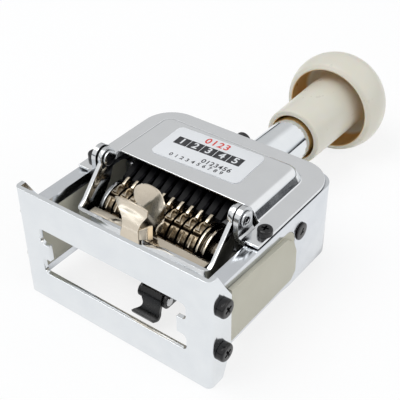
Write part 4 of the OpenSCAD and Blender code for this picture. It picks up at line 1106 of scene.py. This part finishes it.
def wheelRing(x):
    w = SimpleNamespace(**wheelSize)
    half = w.ringWidth / 2
    hub = w.ratchetRadius - w.hubDepth
    profile = [(w.bore, half - w.hubSink), (hub, half - w.hubSink), (hub, w.ratchetEnd),
               (w.bore, w.ratchetEnd)]
    parts = [typeBlocks(x), lathe(profile, "X", (x, w.y, w.z), 60)]
    root = w.ratchetRadius - w.toothDepth
    for k in range(360 // figureStep):
        outline = []
        for radius, angle in zip((root, w.ratchetRadius, root), w.toothAngles):
            a = math.radians(figureStep * k + angle)
            outline.append((w.y + radius * math.cos(a), w.z + radius * math.sin(a)))
        parts.append(plate(outline, x + half - w.toothSink, x + w.ratchetEnd, "X"))
    return joined(parts)


def numberWheel(n):
    w = SimpleNamespace(**wheelSize)
    x = w.first - (n - 1) * w.pitch
    name = f"number_wheel_{n}"
    piece = toObject(name + "_finished", wheelRing(x))
    runTree(piece, figures, {
        "Figures": w.figures, "Centre": (x * mm, (w.y + faceY) * mm, w.z * mm),
        "Radius": (w.radius - w.figureHeight - w.figureSink) * mm,
        "Height": (w.figureHeight + w.figureSink) * mm, "Size": w.figureSize * mm, "Narrow": w.narrow,
        "Start": math.radians(w.firstAngle), "Material": paint["figures"]})
    baked(rounded(piece, w.edge, 1, 45))
    finishPiece(piece, f"wheel_{n}", "figures", [name])


for wheelNumber in range(1, wheelSize["count"] + 1):
    numberWheel(wheelNumber)
print("number wheels")


# Printing head: end ring, side plates, yoke, nuts, comb and pawls

softened("wheel_end_ring", "head", "warmNickel", edge=0.2)
softened("carriage_plate_left", "head", "armChrome", edge=0.2)
softened("carriage_plate_right", "head", "armChrome", edge=0.2)
softened("carriage_yoke", "head", "castGrey", edge=0.4)
softened("carriage_nuts", "head", "steel", edge=0.1, segments=2)
softened("comb", "head", "combBlack", edge=0.3)
softened("pawls", "pawl_set", "pawls", edge=0.14, segments=2)
print("printing head")


# Repeat lever: a curved tongue on a hub, with its bracket and pin. Rows give y, height, left and right edge

leverTongue = dict(sheet=1.6, steps=(36, 10), rows=[
    (15.4, 14.6, 1.6, 11.0), (14.2, 13.4, 1.8, 11.4), (13.6, 11.4, 2.6, 11.6), (13.4, 9.4, 3.2, 11.2),
    (13.2, 7.6, 2.8, 11.0), (12.6, 6.1, 1.8, 11.2), (11.5, 5.0, 0.4, 11.0), (10.2, 4.5, -0.4, 9.6)])
leverHub = dict(y=16.5, z=11.7, left=1.6, right=11.2, bore=1.78, radius=2.5, round=0.3)


def repeatLever():
    t = SimpleNamespace(**leverTongue)
    h = SimpleNamespace(**leverHub)
    lengthSteps, widthSteps = t.steps
    grid = []
    for r in range(lengthSteps + 1):
        y, z, left, right = curveThrough(t.rows, r, lengthSteps)
        grid.append([(left + (right - left) * k / widthSteps, y, z) for k in range(widthSteps + 1)])
    sheetMetal("repeat_lever_tongue", grid, t.sheet, "lever", ["repeat_lever"], "leverBlack")
    edge = h.radius - h.round
    profile = [(h.bore, h.left), (edge, h.left), (h.radius, h.left + h.round),
               (h.radius, h.right - h.round), (edge, h.right), (h.bore, h.right)]
    hub = toObject("repeat_lever_hub", lathe(profile, "X", (0, h.y, h.z), 48))
    finishPiece(hub, "lever", "leverBlack")


repeatLever()
softened("lever_bracket", "body", "leverBlack", edge=0.2)
softened("lever_pin", "body", "steel", edge=0.2)
print("lever")


# Two shafts stay as the frame gives them, in bare steel

for nodeName in ("wheel_shaft", "pawl_shaft"):
    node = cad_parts[nodeName]
    node.data.materials.clear()
    node.data.materials.append(paint["steel"])

print("sizes written")
